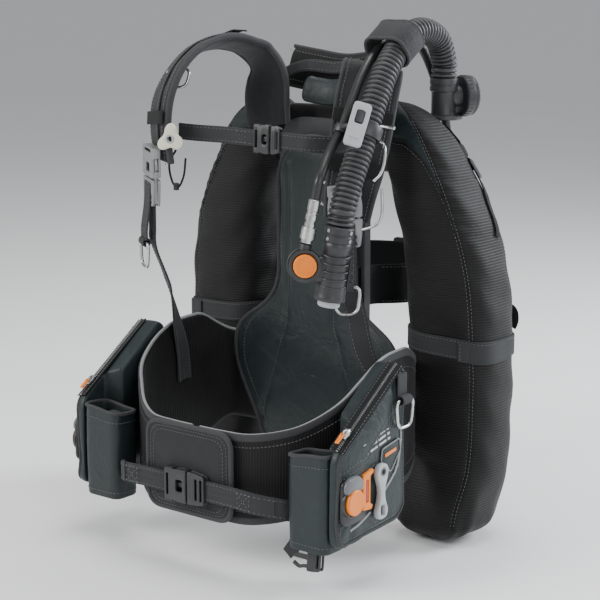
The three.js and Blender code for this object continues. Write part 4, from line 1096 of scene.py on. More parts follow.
def puckered(points):
    """Pulls the cloth in along each seam by 1.7 mm times exp(-(d/4)^2), and gathers it beside the shoulder seam
    into creases 13 mm apart that fade with distance."""
    p = points * (np.sign(points[:, :1]) * [1, 0, 0] + [0, 1, 1])
    angle = bearing(p)
    cx, _, cy, _ = level_at(p[:, 2])
    out = unit(np.stack([(p[:, 0] - cx) * np.sign(points[:, 0]), p[:, 1] - cy, 0 * cx], 1))
    gap = np.min([np.abs(angle - s) * 1.3 for s in (FRONT_SEAM, BACK_SEAM, INNER_SEAM)], 0)
    above = p[:, 2] - np.interp(angle, TOP_SEAM[:, 0], TOP_SEAM[:, 1])
    curve_gap = np.where((angle < FRONT_SEAM), np.abs(above), 99)
    dip = -1.7 * np.exp(-((gap / 4) ** 2)) - 1.5 * np.exp(-((curve_gap / 4) ** 2))
    by_seam = np.exp(-np.abs(angle - FRONT_SEAM) / 22) * (above > 0)
    gathers = 1.5 * np.sin(p[:, 2] * TAU / 13 + angle * 0.05) * by_seam * np.clip((520 - p[:, 2]) / 60, 0, 1)
    slack = 1.4 * np.sin(p[:, 2] * TAU / 74 + angle / 19) * np.sin(angle / 23 + p[:, 2] / 51)
    foot = 1.5 * np.sin(angle * 0.21) * np.exp(-np.maximum(p[:, 2] - 12, 0) / 26)
    return points + out * (dip + gathers + slack + foot)[:, None]


lobes = {}
for side in ("left", "right"):
    made = piece(f"air_cell_{side}", [(lobe_skin, cell_cloth)], stands_for=["wing_bladder"],
        sharp=180, flip=side == "right")
    puff(made, lobe_held, 4.0, 5.0)
    settle(made, puckered(places(made)))
    folded = places(made) * ((-1, 1, 1) if side == "right" else (1, 1, 1))
    mark(made, "coated", coated_share(folded))
    smooth_once(made)
    lobes[side] = made
print("lobes of", len(lobes["left"].data.vertices), "points")


# %% Seams, piping and thread on the lobes
def mirrored_part(s):
    return Skin(s.points * (-1, 1, 1), s.faces, s.uv)


def on_cell(z, angle, lift=0.2):
    """Heights and bearings cast back on to the blown left lobe."""
    start = on_lobe(z, np.broadcast_to(angle, z.shape))
    cx, _, cy, _ = level_at(z)
    way = unit(np.stack([cx - start[:, 0], cy - start[:, 1], 0 * z], 1))
    return drape(lobes["left"], start - way * 25, way, lift)


def down_seam(angle, low, high, count=90):
    """A line down the skin at one bearing."""
    return on_cell(np.linspace(low, high, count), float(angle))


trim = []
for angle, low, high in ((FRONT_SEAM, 26, 512), (BACK_SEAM, 26, 505)):
    line, looks = down_seam(angle, low, high, 130)
    trim.append((tube(line, 1.1, (1, 0, 0), 8), black_webbing))
    for shift in (-3.6, 3.6):
        beside, face_out = down_seam(angle + shift * 0.8, low + 4, high - 4, 150)
        trim.append((stitches(beside, face_out, 4.4, 2.9, 0.4), thread))
curve = np.column_stack([np.linspace(-112, -56.5, 110), np.interp(np.linspace(-112, -56.5, 110),
    TOP_SEAM[:, 0], TOP_SEAM[:, 1])])
curve = route(curve[::6], 110)
line, looks = on_cell(curve[:, 1], curve[:, 0], 0.6)
trim.append((tube(line, 1.4, (0, -1, 0), 8), black_webbing))
lower, looks = on_cell(curve[:-8, 1] - 4.5, curve[:-8, 0] - 1.5, 0.3)
trim.append((stitches(lower, looks, 4.4, 2.9, 0.4), thread))
for side in ("left", "right"):
    piece(f"cell_seams_{side}", [(s if side == "left" else mirrored_part(s), f) for s, f in trim],
        sharp=60)

# %% The bridge between the lobes
bridge_run = np.linspace(-92, 92, 40)
bridge_path = np.column_stack([bridge_run, 48 + 3 * np.cos(bridge_run / 40), np.full(40, 480.0)])
bridge_scale = np.column_stack([np.full(40, 0.985), 0.9 + 0.06 * np.cos(bridge_run / 20)])
bridge = piece("cell_bridge", [(sweep(bridge_path, (0, -1, 0), oval(78, 47, 3.2, 48), bridge_scale), ribbed)],
    sharp=180)
puff(bridge, lambda p: np.abs(p[:, 0]) > 84, 3.0, 3.0)
smooth_once(bridge)
print("bridge made")

# %% [markdown]
# ## Plate, cushion and tank band
# The hard plate is a moulded board and its plain solid is already right, so it stays and gets ribs. The
# cushion in
# front of it is cut to an outline that flares over the hips. Its skin is worked out as rings that shrink from
# the
# outline to a spine while they rise, so that it is crowned; sewn channels are pressed in afterwards.


# %% Dress the solids that stay
def dress(node, material):
    """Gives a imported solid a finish."""
    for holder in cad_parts[node].material_slots:
        holder.material = material


dress("backpack_plate", board)
ribs = []
for x in (-44, -22, 0, 22, 44):
    ribs.append((sweep(np.array([(x, 20.4, z) for z in np.linspace(116, 240, 20)]), (0, 1, 0),
        oval(5, 4, 4, 12)), board))
for z in (200, 372):
    ribs.append((sweep(np.array([(x, 20.4, z) for x in np.linspace(-52, 52, 20)]), (0, 1, 0),
        oval(5, 4, 4, 12)), board))
for x in (-26, 26):
    ribs.append((sweep(np.array([(x, 20.6, z) for z in np.linspace(382, 448, 14)]), (0, 1, 0),
        oval(7, 4.6, 4, 12)), board))
piece("plate_ribs", ribs)

# %% The back cushion
def bezier(a, b, c, d, count=14):
    t = np.linspace(0, 1, count)[:-1, None]
    a, b, c, d = (np.array(p, float) for p in (a, b, c, d))
    return (1 - t) ** 3 * a + 3 * t * (1 - t) ** 2 * b + 3 * t**2 * (1 - t) * c + t**3 * d


right_edge = np.vstack([
    bezier((0, 84), (30, 84), (48, 84), (62, 84), 8), bezier((62, 84), (80, 84), (86, 92), (91, 112), 8),
    bezier((91, 112), (110, 150), (129, 176), (129, 208)), bezier((129, 208), (129, 262), (63, 248),
    (56, 312), 20),
    bezier((56, 312), (55.6, 350), (55.6, 390), (56, 430), 10),
    bezier((56, 430), (56, 462), (31, 486), (0, 486), 12)])
outline = np.vstack([right_edge, [(0, 486)], (right_edge * (-1, 1))[:0:-1]])
outline = even(np.vstack([outline, outline[:1]]), 181)[:-1]
spine = np.column_stack([outline[:, 0] * 0.12, np.clip(outline[:, 1], 190, 430)])
inset = np.linspace(0, 1, 22)
crown = 1 - (1 - inset) ** 2.6
flat = outline[None] + (spine - outline)[None] * inset[:, None, None] * 0.97
front_rows = np.stack([flat[..., 0], np.broadcast_to(-8 - 9.5 * crown[:, None], flat.shape[:2]),
    flat[..., 1]], -1)
back_rows = np.stack([flat[..., 0], np.broadcast_to(-3.2 - 0 * crown[:, None], flat.shape[:2]), flat[..., 1]],
    -1)
cushion_grid = np.concatenate([back_rows[:0:-1], front_rows], 0)
cushion_uv = np.concatenate([cushion_grid[..., [0, 2]], cushion_grid[:, :1, [0, 2]]], 1)
cushion = piece("back_cushion", [(skin(cushion_grid, cushion_uv), coated)], stands_for=["back_pad"],
    sharp=180)
puff(cushion, lambda p: p[:, 1] > -8.5, 4.0, 4.0)


def channel_depth(p):
    """Sewn lines: two beside the neck, and a bowed one over each hip, each pressed in by a bell curve."""
    x, z = np.abs(p[:, 0]), p[:, 2]
    neck = np.where((z > 250) & (z < 452), np.abs(x - 36), 99)
    hip = np.where(z <= 250, np.abs(x - (36 + (250 - z) * 0.36)), 99)
    hip = np.where(z < 110, 99, hip)
    return 2.6 * np.exp(-((np.minimum(neck, hip) / 4) ** 2))


pressed = places(cushion)
in_front = pressed[:, 1] < -9
pressed[:, 1] += np.where(in_front,
    channel_depth(pressed) + 0.9 * np.sin(pressed[:, 2] / 17) * np.sin(pressed[:, 0] / 29), 0)
settle(cushion, pressed)
smooth_once(cushion)
rim = np.column_stack([outline[:, 0] * 0.985, np.full(180, -7.5), 285 + (outline[:, 1] - 285) * 0.99])
cushion_trim = [(tube(rim, 3.3, (0, -1, 0), 12, closed=True), binding)]
ring_in = outline + (spine - outline) * 0.16
for sign in (-1, 1):
    zed = np.linspace(112, 450, 90)
    wide = np.where(zed > 250, 36, 36 + (250 - zed) * 0.36) * sign
    seam, looks = drape(cushion, np.column_stack([wide, np.full(90, -50.0), zed]), (0, 1, 0), 0.2)
    cushion_trim.append((stitches(seam, looks, 4.4, 3.0, 0.42), thread))
edge_line, looks = drape(cushion, np.column_stack([ring_in[:, 0], np.full(180, -50.0), ring_in[:, 1]]),
    (0, 1, 0), 0.2)
cushion_trim.append((stitches(edge_line, looks, 4.4, 3.0, 0.42), thread))
piece("cushion_binding", cushion_trim, sharp=60)
print("cushion", np.round(places(cushion).min(0), 1), np.round(places(cushion).max(0), 1))

# %% Tank band and cam buckle
TANK_Y, TANK_R, TANK_Z = 114, 93, 300
front_y, reach_band = 4.0, TANK_R + 1 + 1.3
turn_a = (-0.29 + np.arange(13) * 1.58 / 12) * math.pi
half = [(0.4, front_y), (40, front_y), (51, front_y + 0.6), (56, 10), (56, 22)]
flat_path = half + [(reach_band * math.cos(a), TANK_Y + reach_band * math.sin(a)) for a in turn_a] + [(-x, y)
    for x, y in half[::-1]]
band_path = route([(x, y, TANK_Z) for x, y in flat_path], 170)
band_parts = [(sweep(band_path, (0, 1, 0), flat_band(50, 2.6, 13), upright=True), black_webbing)]
for edge in (-21.5, 21.5):
    line = band_path[26:145] + np.array([0, 0, edge])
    outward = unit(line - (0, TANK_Y, TANK_Z + edge))
    band_parts.append((stitches(line + outward * 1.3, outward, 4.6, 3, 0.42), thread))
piece("tank_strap", band_parts, stands_for=["tank_band"])
cam_y = TANK_Y + TANK_R + 2.6 + 1
cam_at = seat((0, cam_y + 3.4, TANK_Z), (-1, 0, 0), (0, 1, 0))
cam_frame = [(moved(plate([rounded(block(66, 58), 6), rounded(block(46, 38), 3)], 5.8, 1.4), cam_at),
    dark_plastic)]
for x in (-26, 26):
    bar = np.array([(x, cam_y + 3.4, z) for z in np.linspace(275, 325, 12)])
    cam_frame.append((tube(bar, 2.6, (0, 1, 0), 12), steel))
piece("cam_frame", cam_frame, stands_for=["cam_buckle_frame"], sharp=34)
lever_at = seat((2, cam_y + 6 + 0.8 + 2.5, 300), (-1, 0, 0), (0, 1, 0))
lever = [(moved(plate([rounded(block(62, 50), 8)], 4.8, 1.5), lever_at), dark_plastic)]
for k in range(4):
    line = on(lever_at, *[(-22 + 4.2 * k, y, 2.6) for y in np.linspace(-18, 18, 10)])
    lever.append((tube(line, 1.0, (0, 1, 0), 8), black_plastic))
lever.append((moved(plate([rounded(block(22, 30, 12, 0), 3)], 1.2, 0.4, 2.4), lever_at), black_plastic))
piece("cam_lever_shell", lever, "cam_lever", ["cam_buckle_lever"], 34)
print("plate, cushion and band made")

# %% [markdown]
# ## Webbing, buckles and padded straps
# Flat webbing is modelled as it is woven: one section with rounded edges carried along a smooth curve. A
# buckle
# is two moulded plates with walls between them, a slot for the web, and a plug whose side prongs show in
# windows.

# %% Builders for webbing and buckles
WEB = 2.4


def web_strip(points, facing, width=25, count=80, upright=False, thick=WEB, finish_of=None, edge=True):
    """A strip of webbing with a line of thread near each edge."""
    line = route(points, count)
    across, out = sides(line, facing, upright)
    parts = [(sweep(line, facing, flat_band(width, thick), upright=upright), finish_of or webbing)]
    if edge:
        for x in (-width / 2 + 3, width / 2 - 3):
            for y in (-1, 1):
                parts.append((stitches(line + across * x + out * y * thick / 2, out * y, 4.8, 3.0, 0.36,
                    0.15), thread))
    return parts


def cross_stitch(at, across, along, out, width, height):
    """The sewn box and cross that holds a folded end."""
    a, b = across * width / 2, along * height / 2
    corners = [at - a - b, at + a - b, at + a + b, at - a + b, at - a - b, at + a + b]
    lines = [np.array([corners[k], corners[k + 1]]) for k in range(5)] + [np.array([at + a - b, at - a + b])]
    return [(stitches(even(line, 3), out, 3.6, 2.8, 0.42, 0.2), thread) for line in lines]


def socket_parts(size, at, stuff):
    """The half that takes the prongs: two plates held apart by walls, with side windows and a web slot."""
    w, t, s, wall, web = size
    shape = rounded([(-w / 2, 1), (w / 2, 1), (w / 2, s * 0.4), (w / 2 - 1.6, s * 0.66), (w / 2, s),
        (-w / 2, s),
                     (-w / 2 + 1.6, s * 0.66), (-w / 2, s * 0.4)], 3.4)
    slot = rounded(block(web + 1, 3.4, 0, s - wall - 2.2), 1.2)
    window = rounded(block(w * 0.36, s * 0.3, 0, s * 0.34), 3)
    parts = [(moved(plate([shape, slot, window], wall + 0.6, 0.8, t / 2 - wall / 2 - 0.3), at), stuff)]
    parts.append((moved(plate([shape, slot], wall + 0.6, 0.8, -t / 2 + wall / 2 + 0.3), at), stuff))
    for side in (-1, 1):
        for low, high in ((0.04, 0.24), (0.66, 0.99)):
            middle, long = s * (low + high) / 2, s * (high - low)
            parts.append((moved(plate([rounded(block(3.4, long, side * (w / 2 - 1.9), middle), 1)], t - 1,
                0.6), at), stuff))
    parts.append((moved(plate([rounded(block(w - 4, 2.2, 0, s - 1.4), 0.8)], t - 1, 0.6), at), stuff))
    rim = on(at, *[(x, 2.2, t / 2 - 0.2) for x in np.linspace(-w / 2 + 5, w / 2 - 5, 10)])
    parts.append((tube(rim, 0.7, at[:3, 2], 8), stuff))
    return parts


def plug_parts(size, at, stuff, plug):
    """The half with the prongs: a body with two web slots, a tongue, and prongs that bow out into the windows."""
    w, t, s, wall, web = size
    reach = s - 4 * wall - 3
    shape = rounded([(-w / 2, -1), (-w / 2 + 1, -plug * 0.55), (-w / 2 + 3, -plug), (w / 2 - 3, -plug),
        (w / 2 - 1, -plug * 0.55), (w / 2, -1)], 3)
    slots = [rounded(block(web + 0.6, 3.2, 0, -plug + 4.4), 1.2)]
    if plug > 20:
        slots.append(rounded(block(web + 0.6, 3.4, 0, -plug + 12), 1.2))
    leaf = (t - 4.2) / 2
    parts = [(moved(plate([shape, *slots], leaf, 0.9, sign * (t / 2 - 0.3 - leaf / 2)), at), stuff)
        for sign in (-1, 1)]
    for side in (-1, 1):
        parts.append((moved(plate([rounded(block(3.4, plug - 6, side * (w / 2 - 4.6), -plug / 2), 1.2)],
            t - 2, 0.6), at), stuff))
    parts.append((moved(plate([rounded(block(6, reach + 3, 0, reach / 2 - 1.5), 1.4)], 2.2, 0.6), at), stuff))
    for side in (-1, 1):
        bow = [(w / 2 - 5, -3), (w / 2 - 4.2, reach * 0.3), (w / 2 - 2.6, reach * 0.55),
            (w / 2 - 3.4, reach * 0.74), (w / 2 - 6, reach)]
        line = on(at, *[(side * x, y, 0) for x, y in bow])
        parts.append((sweep(route(line, 26), at[:3, 2], oval(4, t - 2 * wall - 1.8, 4, 16)), stuff))
    for k in range(3):
        ridge_line = on(at, *[(x, -4 - 2.6 * k, t / 2 - 0.7) for x in np.linspace(-w / 2 + 6, w / 2 - 6, 8)])
        parts.append((tube(ridge_line, 0.7, at[:3, 2], 8), stuff))
    return parts


def link(width, height, wire, at, taper=0.0):
    """A ring bent from wire: it hangs from a straight bar at the origin, down -y."""
    w, h = width / 2 - wire / 2, height - wire
    shape = rounded([(-w, 0), (w, 0), (w * (1 - taper), -h), (-w * (1 - taper), -h)], 9, 8)
    line = even(np.vstack([shape, shape[:1]]), 97)[:-1]
    return tube(on(at, *np.column_stack([line, np.zeros(96)])), wire / 2, at[:3, 2], 14, closed=True)


# %% [markdown]
# The shoulder straps are pads of pin-dotted cloth with rolled edges. A pad is swept along its own path, with
# a
# section that is full in the middle, and narrows toward both ends; a strap of webbing is sewn down its front.

# %% Shoulder straps
STRAP_LINES = {
    "right": [(-70, -9, 494), (-73, -9, 520), (-80, -2, 556), (-92, -2, 582), (-110, -34, 597),
    (-124, -78, 590),
              (-132, -112, 564), (-135, -132, 530), (-134, -138, 490), (-132, -134, 456)],
    "left": [(70, -9, 494), (73, -9, 520), (79, -4, 550), (84, -4, 566), (90, -12, 571), (94, -22, 558),
             (94, -30, 535), (94, -39, 500), (93, -48, 460), (91, -57, 425), (90, -62, 396)],
}


def strap_faces(side):
    return [(side * 0.2, 1, -0.2), (side * 0.1, 0.8, 0.5), (side * 0.2, 0, 1), (side * 0.4, -0.6, 0.6),
            (side * 0.5, -0.87, 0.1), (side * 0.5, -0.87, 0.05), (side * 0.5, -0.87, 0)]


def padded_section(width, thick, count=44):
    """A pad's section: a flat back, a full front, and pinched sides."""
    ring = oval(width, thick, 3.4, count)
    pinch = 1 - 0.28 * np.abs(ring[:, 0] / (width / 2)) ** 6
    return np.column_stack([ring[:, 0], ring[:, 1] * pinch])


for name, points in STRAP_LINES.items():
    side = 1 if name == "left" else -1
    line = route(points, 110)
    t = np.linspace(0, 1, 110)
    wide = 0.62 + 0.38 * np.sin(math.pi * np.minimum(1, 0.12 + 0.8 * t))
    full = 0.9 + 0.05 * np.sin(t * 60)
    ends = dome(t, 0.03, 0.55)
    across, out = sides(line, strap_faces(side))
    pad = piece(f"strap_pad_{name}",
        [(sweep(line, strap_faces(side), padded_section(70, 12.4), np.column_stack([wide, full * ends])),
        spacer)],
                stands_for=[f"shoulder_strap_{name}"], sharp=180)
    smooth_once(pad)
    trim = []
    for edge in (-1, 1):
        rim_line = line + across * (edge * wide * 34.2)[:, None]
        trim.append((sweep(rim_line, out, oval(6.4, 8.4, 2.4, 14)), binding))
        inner = line + across * (edge * wide * 29)[:, None] + out * 5.6
        trim.append((stitches(inner, out, 4.4, 3, 0.42, 0.2), thread))
    first, last = (30, 104) if name == "right" else (38, 106)
    web_line = line[first:last] + out[first:last] * 7.0
    trim.append((sweep(web_line, out[first:last], flat_band(25, 2.2)), webbing))
    for x in (-9.6, 9.6):
        trim.append((stitches(web_line + across[first:last] * x + out[first:last] * 1.1, out[first:last], 4.6,
            3, 0.4, 0.15), thread))
    bars = (44, 60, 76, 92) if name == "right" else (60, 84)
    for k in bars:
        x = np.linspace(-13.5, 13.5, 6)
        for shift in (-1, 1):
            bar = line[k + shift] + across[k] * x[:, None] + out[k] * 8.2
            trim.append((stitches(bar, out[k], 2.6, 2.0, 0.45, 0.2), thread))
    for k in (bars[0], bars[-1]):
        loop_x = np.linspace(-1, 1, 24)
        loop = line[k] + across[k] * (loop_x * wide[k] * 35)[:, None] + out[k] * (9.4 - 2.2 * loop_x**8)[:,
            None]
        trim.append((sweep(loop, np.tile(out[k], (2, 1)), flat_band(16, 1.6, 5)), black_webbing))
    piece(f"strap_trim_{name}", trim, sharp=60)
print("strap pads made")

# %% Small metal on the straps
bar_parts = [(tube(np.linspace((66, -50, 512), (148, -50, 506), 14), 2.1, (0, -1, 0), 12), steel)]
bent = route([(134, -70, 446), (141, -66, 455), (143.5, -62, 484), (128, -58, 494), (100, -54, 497)], 50)
bar_parts.append((tube(bent, 1.7, (0, -1, 0), 10), steel))
hook = route([(140, -62, 437), (139, -64, 400), (118, -66, 388), (90, -66, 386)], 40)
bar_parts.append((tube(hook, 1.7, (0, -1, 0), 10), steel))
loop_left = route([(56, -62, 411), (46, -66, 418), (50, -64, 434), (66, -58, 440)], 30)
bar_parts.append((tube(loop_left, 1.7, (0, -1, 0), 10), steel))
piece("strap_bars", bar_parts)
d_at = seat((-128, -112, 566), (0.85, 0.5, 0.05), (0.5, -0.8, 0.3))
piece("chest_ring", [(link(34, 26, 3.6, d_at, 0.35), steel)]
    + web_strip([(-136, -110, 570), (-128, -112, 574), (-118, -104, 576)], (0.3, -0.7, 0.6), 14, 12,
    edge=False))

# %% Shoulder buckles, tails, rings and lower straps
CHAINS = {"right": ((-141, -148, 438), (-0.06, 0.06, -1), (-0.5, -0.87, 0)),
    "left": ((96, -73, 400), (0.06, -0.02, -1), (0.5, -0.87, 0))}
LOWER = {"right": [(-150, -112, 300), (-153, -92, 240), (-156.5, -80, 206), (-157.2, -76, 168)],
         "left": [(106, -67, 290), (126, -74, 240), (151, -76, 206), (157.2, -76, 168)]}
SHOULDER, PLUG = (40, 11, 38, 2.2, 25), 34
for name, (meet, down, out_way) in CHAINS.items():
    side = 1 if name == "left" else -1
    y = -unit(down)
    x = unit(np.cross(y, out_way))
    z = np.cross(x, y)
    at = np.eye(4)
    at[:3, 0], at[:3, 1], at[:3, 2], at[:3, 3] = x, y, z, meet
    piece(f"shoulder_socket_shell_{name}", socket_parts(SHOULDER, at, silver_plastic),
        stands_for=[f"shoulder_socket_{name}"], sharp=34)
    front = 5.5
    pivot = on(at, (0, -PLUG - 46, front + 5))[0]
    tail_points = on(at, (0, -6, front - 0.4), (0, -PLUG, front + 1), (0, -PLUG - 30, front + 5),
        (0, -PLUG - 42, front + 5))
    tail = web_strip(tail_points, z, 24, 40)
    loop_a = np.linspace(0, TAU, 29)[:-1]
    circle = np.cos(loop_a)[:, None] * y + np.sin(loop_a)[:, None] * z
    tail.append((sweep(pivot + circle * 4.6, circle, flat_band(18, 2.2), closed=True), webbing))
    tail += cross_stitch(on(at, (0, -PLUG - 34, front + 6.6))[0], x, y, z, 15, 10)
    piece(f"shoulder_plug_shell_{name}", plug_parts(SHOULDER, at, silver_plastic, PLUG) + tail,
        f"shoulder_plug_{name}",
          [f"shoulder_plug_{name}"], 34)
    ring_at = at.copy()
    ring_at[:3, 3] = pivot
    piece(f"tail_link_{name}", [(link(38, 36, 4, ring_at, 0.3), steel)], f"tail_ring_{name}",
        [f"tail_ring_{name}"])
    lower = np.vstack([on(at, (0, -3, 0), (0, -40, 0), (0, -PLUG - 30, 0), (0, -PLUG - 46, 0)), LOWER[name]])
    mix = 0.5 * z + 0.5 * np.array([side, 0, 0])
    faces = [z, z, z, z, mix, (side, -0.1, 0), (side, 0, 0)]
    piece(f"lower_strap_web_{name}", web_strip(lower, faces, 25, 110), stands_for=[f"lower_strap_{name}"])
print("shoulder buckles made")

# %% Sternum strap
way = unit((0.998, 0.04, -0.03))
meet = np.array([14.0, -108, 489])
y = -way
x = unit(np.cross(y, (0, -1, 0)))
z = np.cross(x, y)
at = np.eye(4)
at[:3, 0], at[:3, 1], at[:3, 2], at[:3, 3] = x, y, z, meet
STERNUM = (34, 9, 24, 1.8, 20)
piece("sternum_socket_shell", socket_parts(STERNUM, at, dark_plastic), stands_for=["sternum_socket"],
    sharp=34)
piece("sternum_plug_shell", plug_parts(STERNUM, at, dark_plastic, 14), "sternum_plug", ["sternum_plug"],
    34)
back_way = lambda b: meet + y * b
right_web = web_strip([back_way(22), back_way(44), back_way(66), (-96, -120, 492), (-117, -124, 493)], z, 20,
    60)
right_web += cross_stitch(back_way(44) + z * 1.6, x, y, z, 13, 12)
piece("sternum_web_right", right_web, stands_for=["sternum_webbing_right"])
left_web = web_strip([back_way(-8), back_way(-36), back_way(-52), (88, -84, 486), (97, -58, 485)], z, 20, 60)
piece("sternum_web_left", left_web, stands_for=["sternum_webbing_left"])

# %% Yoke, collar and grab handle
yoke_line = route([(-82, 50, 566), (-46, 52, 561), (0, 54, 556), (46, 52, 561), (82, 50, 566)], 70)
t = np.linspace(0, 1, 70)
yoke = piece("yoke_pad", [(sweep(yoke_line, (0, -1, 0.25), padded_section(50, 14),
    np.column_stack([dome(t, 0.05, 0.7), dome(t, 0.05, 0.6)])), ribbed)],
             stands_for=["shoulder_yoke"], sharp=180)
smooth_once(yoke)
across, out = sides(yoke_line, (0, -1, 0.25))
yoke_trim = [(sweep(yoke_line + across * e, out, oval(5.4, 8, 2.4, 14)), binding) for e in (-24.4, 24.4)]
yoke_trim += [(stitches(yoke_line + across * e + out * 7, out, 4.4, 3, 0.42, 0.1), thread) for e in (-18, 18)]
piece("yoke_trim", yoke_trim, sharp=60)
collar_line = route([(-36, 18, 541), (-20, 22, 538), (0, 24, 536), (20, 22, 538), (36, 18, 541)], 50)
t = np.linspace(0, 1, 50)
collar = piece("collar_roll", [(sweep(collar_line, (0, -1, 0.3), oval(33, 14.6, 2.3, 36),
    np.column_stack([dome(t, 0.1, 0.5), dome(t, 0.1, 0.5)])), coated)],
               stands_for=["collar_pad"], sharp=180)
smooth_once(collar)
grab_side = [(40, 72.4), (37, 90), (24, 99)]
grab_path = [(-x, y, 478) for x, y in grab_side] + [(0, 102, 478)] + [(x, y, 478) for x, y in grab_side[::-1]]
grab = web_strip(grab_path, (0, 1, 0), 25, 60, upright=True, thick=3)
grip = route(grab_path[1:-1], 40)
grab.append((sweep(grip, (0, 1, 0), oval(24, 7, 2.6, 24), upright=True), black_webbing))
piece("grab_loop", grab, stands_for=["grab_handle"])
band_points = route([(-86, 30, 552), (-60, 34, 564), (-36, 30, 568), (0, 34, 566), (40, 30, 572)], 60)
piece("neck_band", web_strip(band_points, (0, -1, 0.4), 16, 60))
print("harness made")

# %% [markdown]
# ## Waist
# The waistband is a padded sheet of ribbed cloth bent round the hips. Its wide part stands behind, under the
# pockets, and it narrows toward the buckle. The section goes round a path that lies level, and stays upright.

# %% Waistband and panel
BAND_LINE = [(44, 3, 166), (122, 3.2, 166), (144, -1, 166), (157, -22, 166), (161.4, -48, 166),
    (162.6, -75, 165),
             (163, -104, 161), (161.6, -132, 153), (154, -158, 142), (132, -182, 130), (104, -206, 120),
             (72, -224, 115),
             (38, -230, 115), (6, -231, 115)]
smooth = lambda f, a, b: np.clip((f - a) / (b - a), 0, 1) ** 2 * (3 - 2 * np.clip((f - a) / (b - a), 0, 1))
line = route(BAND_LINE, 120)
t = np.linspace(0, 1, 120)
tall = (116 / 168 + (1 - 116 / 168) * smooth(t, 0.21, 0.34)) * (1 + (106 / 168 - 1) * smooth(t, 0.4, 0.74))
across, out = sides(line, (0, 0, 1), upright=True)
band_trim, band_section = [], flat_band(164, 6.4, 27)
for edge, stuff, thick in ((1, piping, 2.1), (-1, binding, 2.6)):
    rim_line = line + across * (edge * tall * 82)[:, None]
    band_trim.append((tube(rim_line, thick, (0, 1, 0), 12), stuff))
    band_trim.append((sweep(line + across * (edge * tall * 78)[:, None] + out * 2.6, out, oval(9, 2.2, 3, 12),
        upright=True), binding))
for level in (-0.36, 0.36):
    band_trim.append((stitches(line + across * (level * tall * 168)[:, None] + out * 3.4, out, 4.4, 3, 0.42,
        0.1), thread))
for name in ("left", "right"):
    flip = name == "right"
    belt = piece(f"waistband_pad_{name}",
        [(sweep(line, (0, 0, 1), band_section, np.column_stack([tall, np.ones(120)]), upright=True), ribbed)],
                 stands_for=[f"waistband_{name}"], sharp=180, flip=flip)
    smooth_once(belt)
    piece(f"waistband_trim_{name}", band_trim, sharp=60, flip=flip)


def pillow(shape, middle, height, low=0.0, rings=16, at=None, edge=3.0, power=2.4):
    """A crowned pad: an outline's rings shrink to its middle line while they rise, over a rounded rim."""
    shape, middle = np.asarray(shape, float), np.asarray(middle, float)
    a = np.linspace(0, math.pi / 2, 5)
    inward = unit(middle - shape)
    rows = [(shape + inward * edge * 1.2, low), (shape + inward * edge * 0.4, low + 0.3)]
    rows += [(shape + inward * edge * (1 - math.cos(k)),
        low + edge * 0.1 + (height - 2 * edge) * 0.7 + edge * 0.9 * math.sin(k)) for k in a]
    s = np.linspace(0.08, 0.97, rings)
    top = rows[-1][1]
    rows += [(shape + (middle - shape) * k, top + (height - top) * (1 - (1 - k) ** power)) for k in s]
    rows = [(shape + (middle - shape) * 0.97, low), (shape + (middle - shape) * 0.5, low)] + rows
    grid = np.stack([np.column_stack([p, np.full(len(p), h)]) for p, h in rows])
    uv = np.concatenate([grid[..., :2], grid[:, :1, :2]], 1)
    made = skin(grid, uv)
    return moved(made, at) if at is not None else made


panel_at = seat((-5.5, -235, 115), (1, 0, 0), (0, -1, 0))
panel_shape = even(np.vstack([rounded(block(130, 105), 20, 9), rounded(block(130, 105), 20, 9)[:1]]),
    121)[:-1]
panel_middle = panel_shape * (0.45, 0.05)
panel = piece("waist_pad", [(pillow(panel_shape, panel_middle, 6.4, 0.2, at=panel_at, edge=2.2), spacer)],
    stands_for=["waist_panel"], sharp=180)
smooth_once(panel)
panel_trim = [(tube(on(panel_at, *np.column_stack([panel_shape * 0.985, np.full(120, 3.2)])), 3.0, (0, -1, 0),
    12, closed=True), binding)]
for share in (0.9, 0.82):
    start = on(panel_at, *np.column_stack([panel_shape * share, np.full(120, 30.0)]))
    seam, looks = drape(panel, start, (0, 1, 0), 0.15)
    panel_trim.append((stitches(seam, looks, 4.4, 3, 0.42), thread))
piece("waist_pad_trim", panel_trim, sharp=60)

# %% Waist buckle and web
WAIST = (40, 11, 34, 2.2, 25)
waist_at = seat((2, -246.9, 98), (0, 0, 1), (0, -1, 0))
piece("waist_socket_shell", socket_parts(WAIST, waist_at, dark_plastic), stands_for=["waist_socket"],
    sharp=34)
piece("waist_plug_shell", plug_parts(WAIST, waist_at, dark_plastic, 26), "waist_plug", ["waist_plug"],
    34)
to_sleeve = [(100, -244, 96), (118, -232, 92), (127.8, -220, 88)]
left_run = [(20, -246.9, 98), (42, -246.9, 98), (78, -246.9, 98), *to_sleeve]
right_run = [(-33, -246.9, 98), (-68, -246.9, 98), *[(-a, b, c) for a, b, c in to_sleeve]]
for name, run_of in (("left", left_run), ("right", right_run)):
    web = web_strip(run_of, (0, -1, 0), 25, 90, upright=True)
    second = [(a, b - 2.9 if b < -240 else b - 2.4, c + 0.4) for a, b, c in run_of[2:-1]]
    web += web_strip(second, (0, -1, 0), 24, 60, upright=True, thick=2.0)
    spot = np.array([(86 if name == "left" else -86), -250.6, 97.6])
    web += cross_stitch(spot, np.array([0, 0, 1.0]), np.array([1.0, 0, 0]), np.array([0, -1.0, 0]), 17, 17)
    piece(f"waist_web_{name}", web, stands_for=[f"waist_webbing_{name}"])
print("waist made")

# %% [markdown]
# ## Pockets and weight pouches
# Each hip pocket is a bag that hangs beside the hips: a crowned outer panel of coated nylon with a sloping
# zip, a
# dark open-mouthed pouch in front of it, and the quick release for the weights. The bag could be carved from
# a
# box, but rings that shrink from its outline make a skin with rounded shoulders that can be blown up as
# cloth.

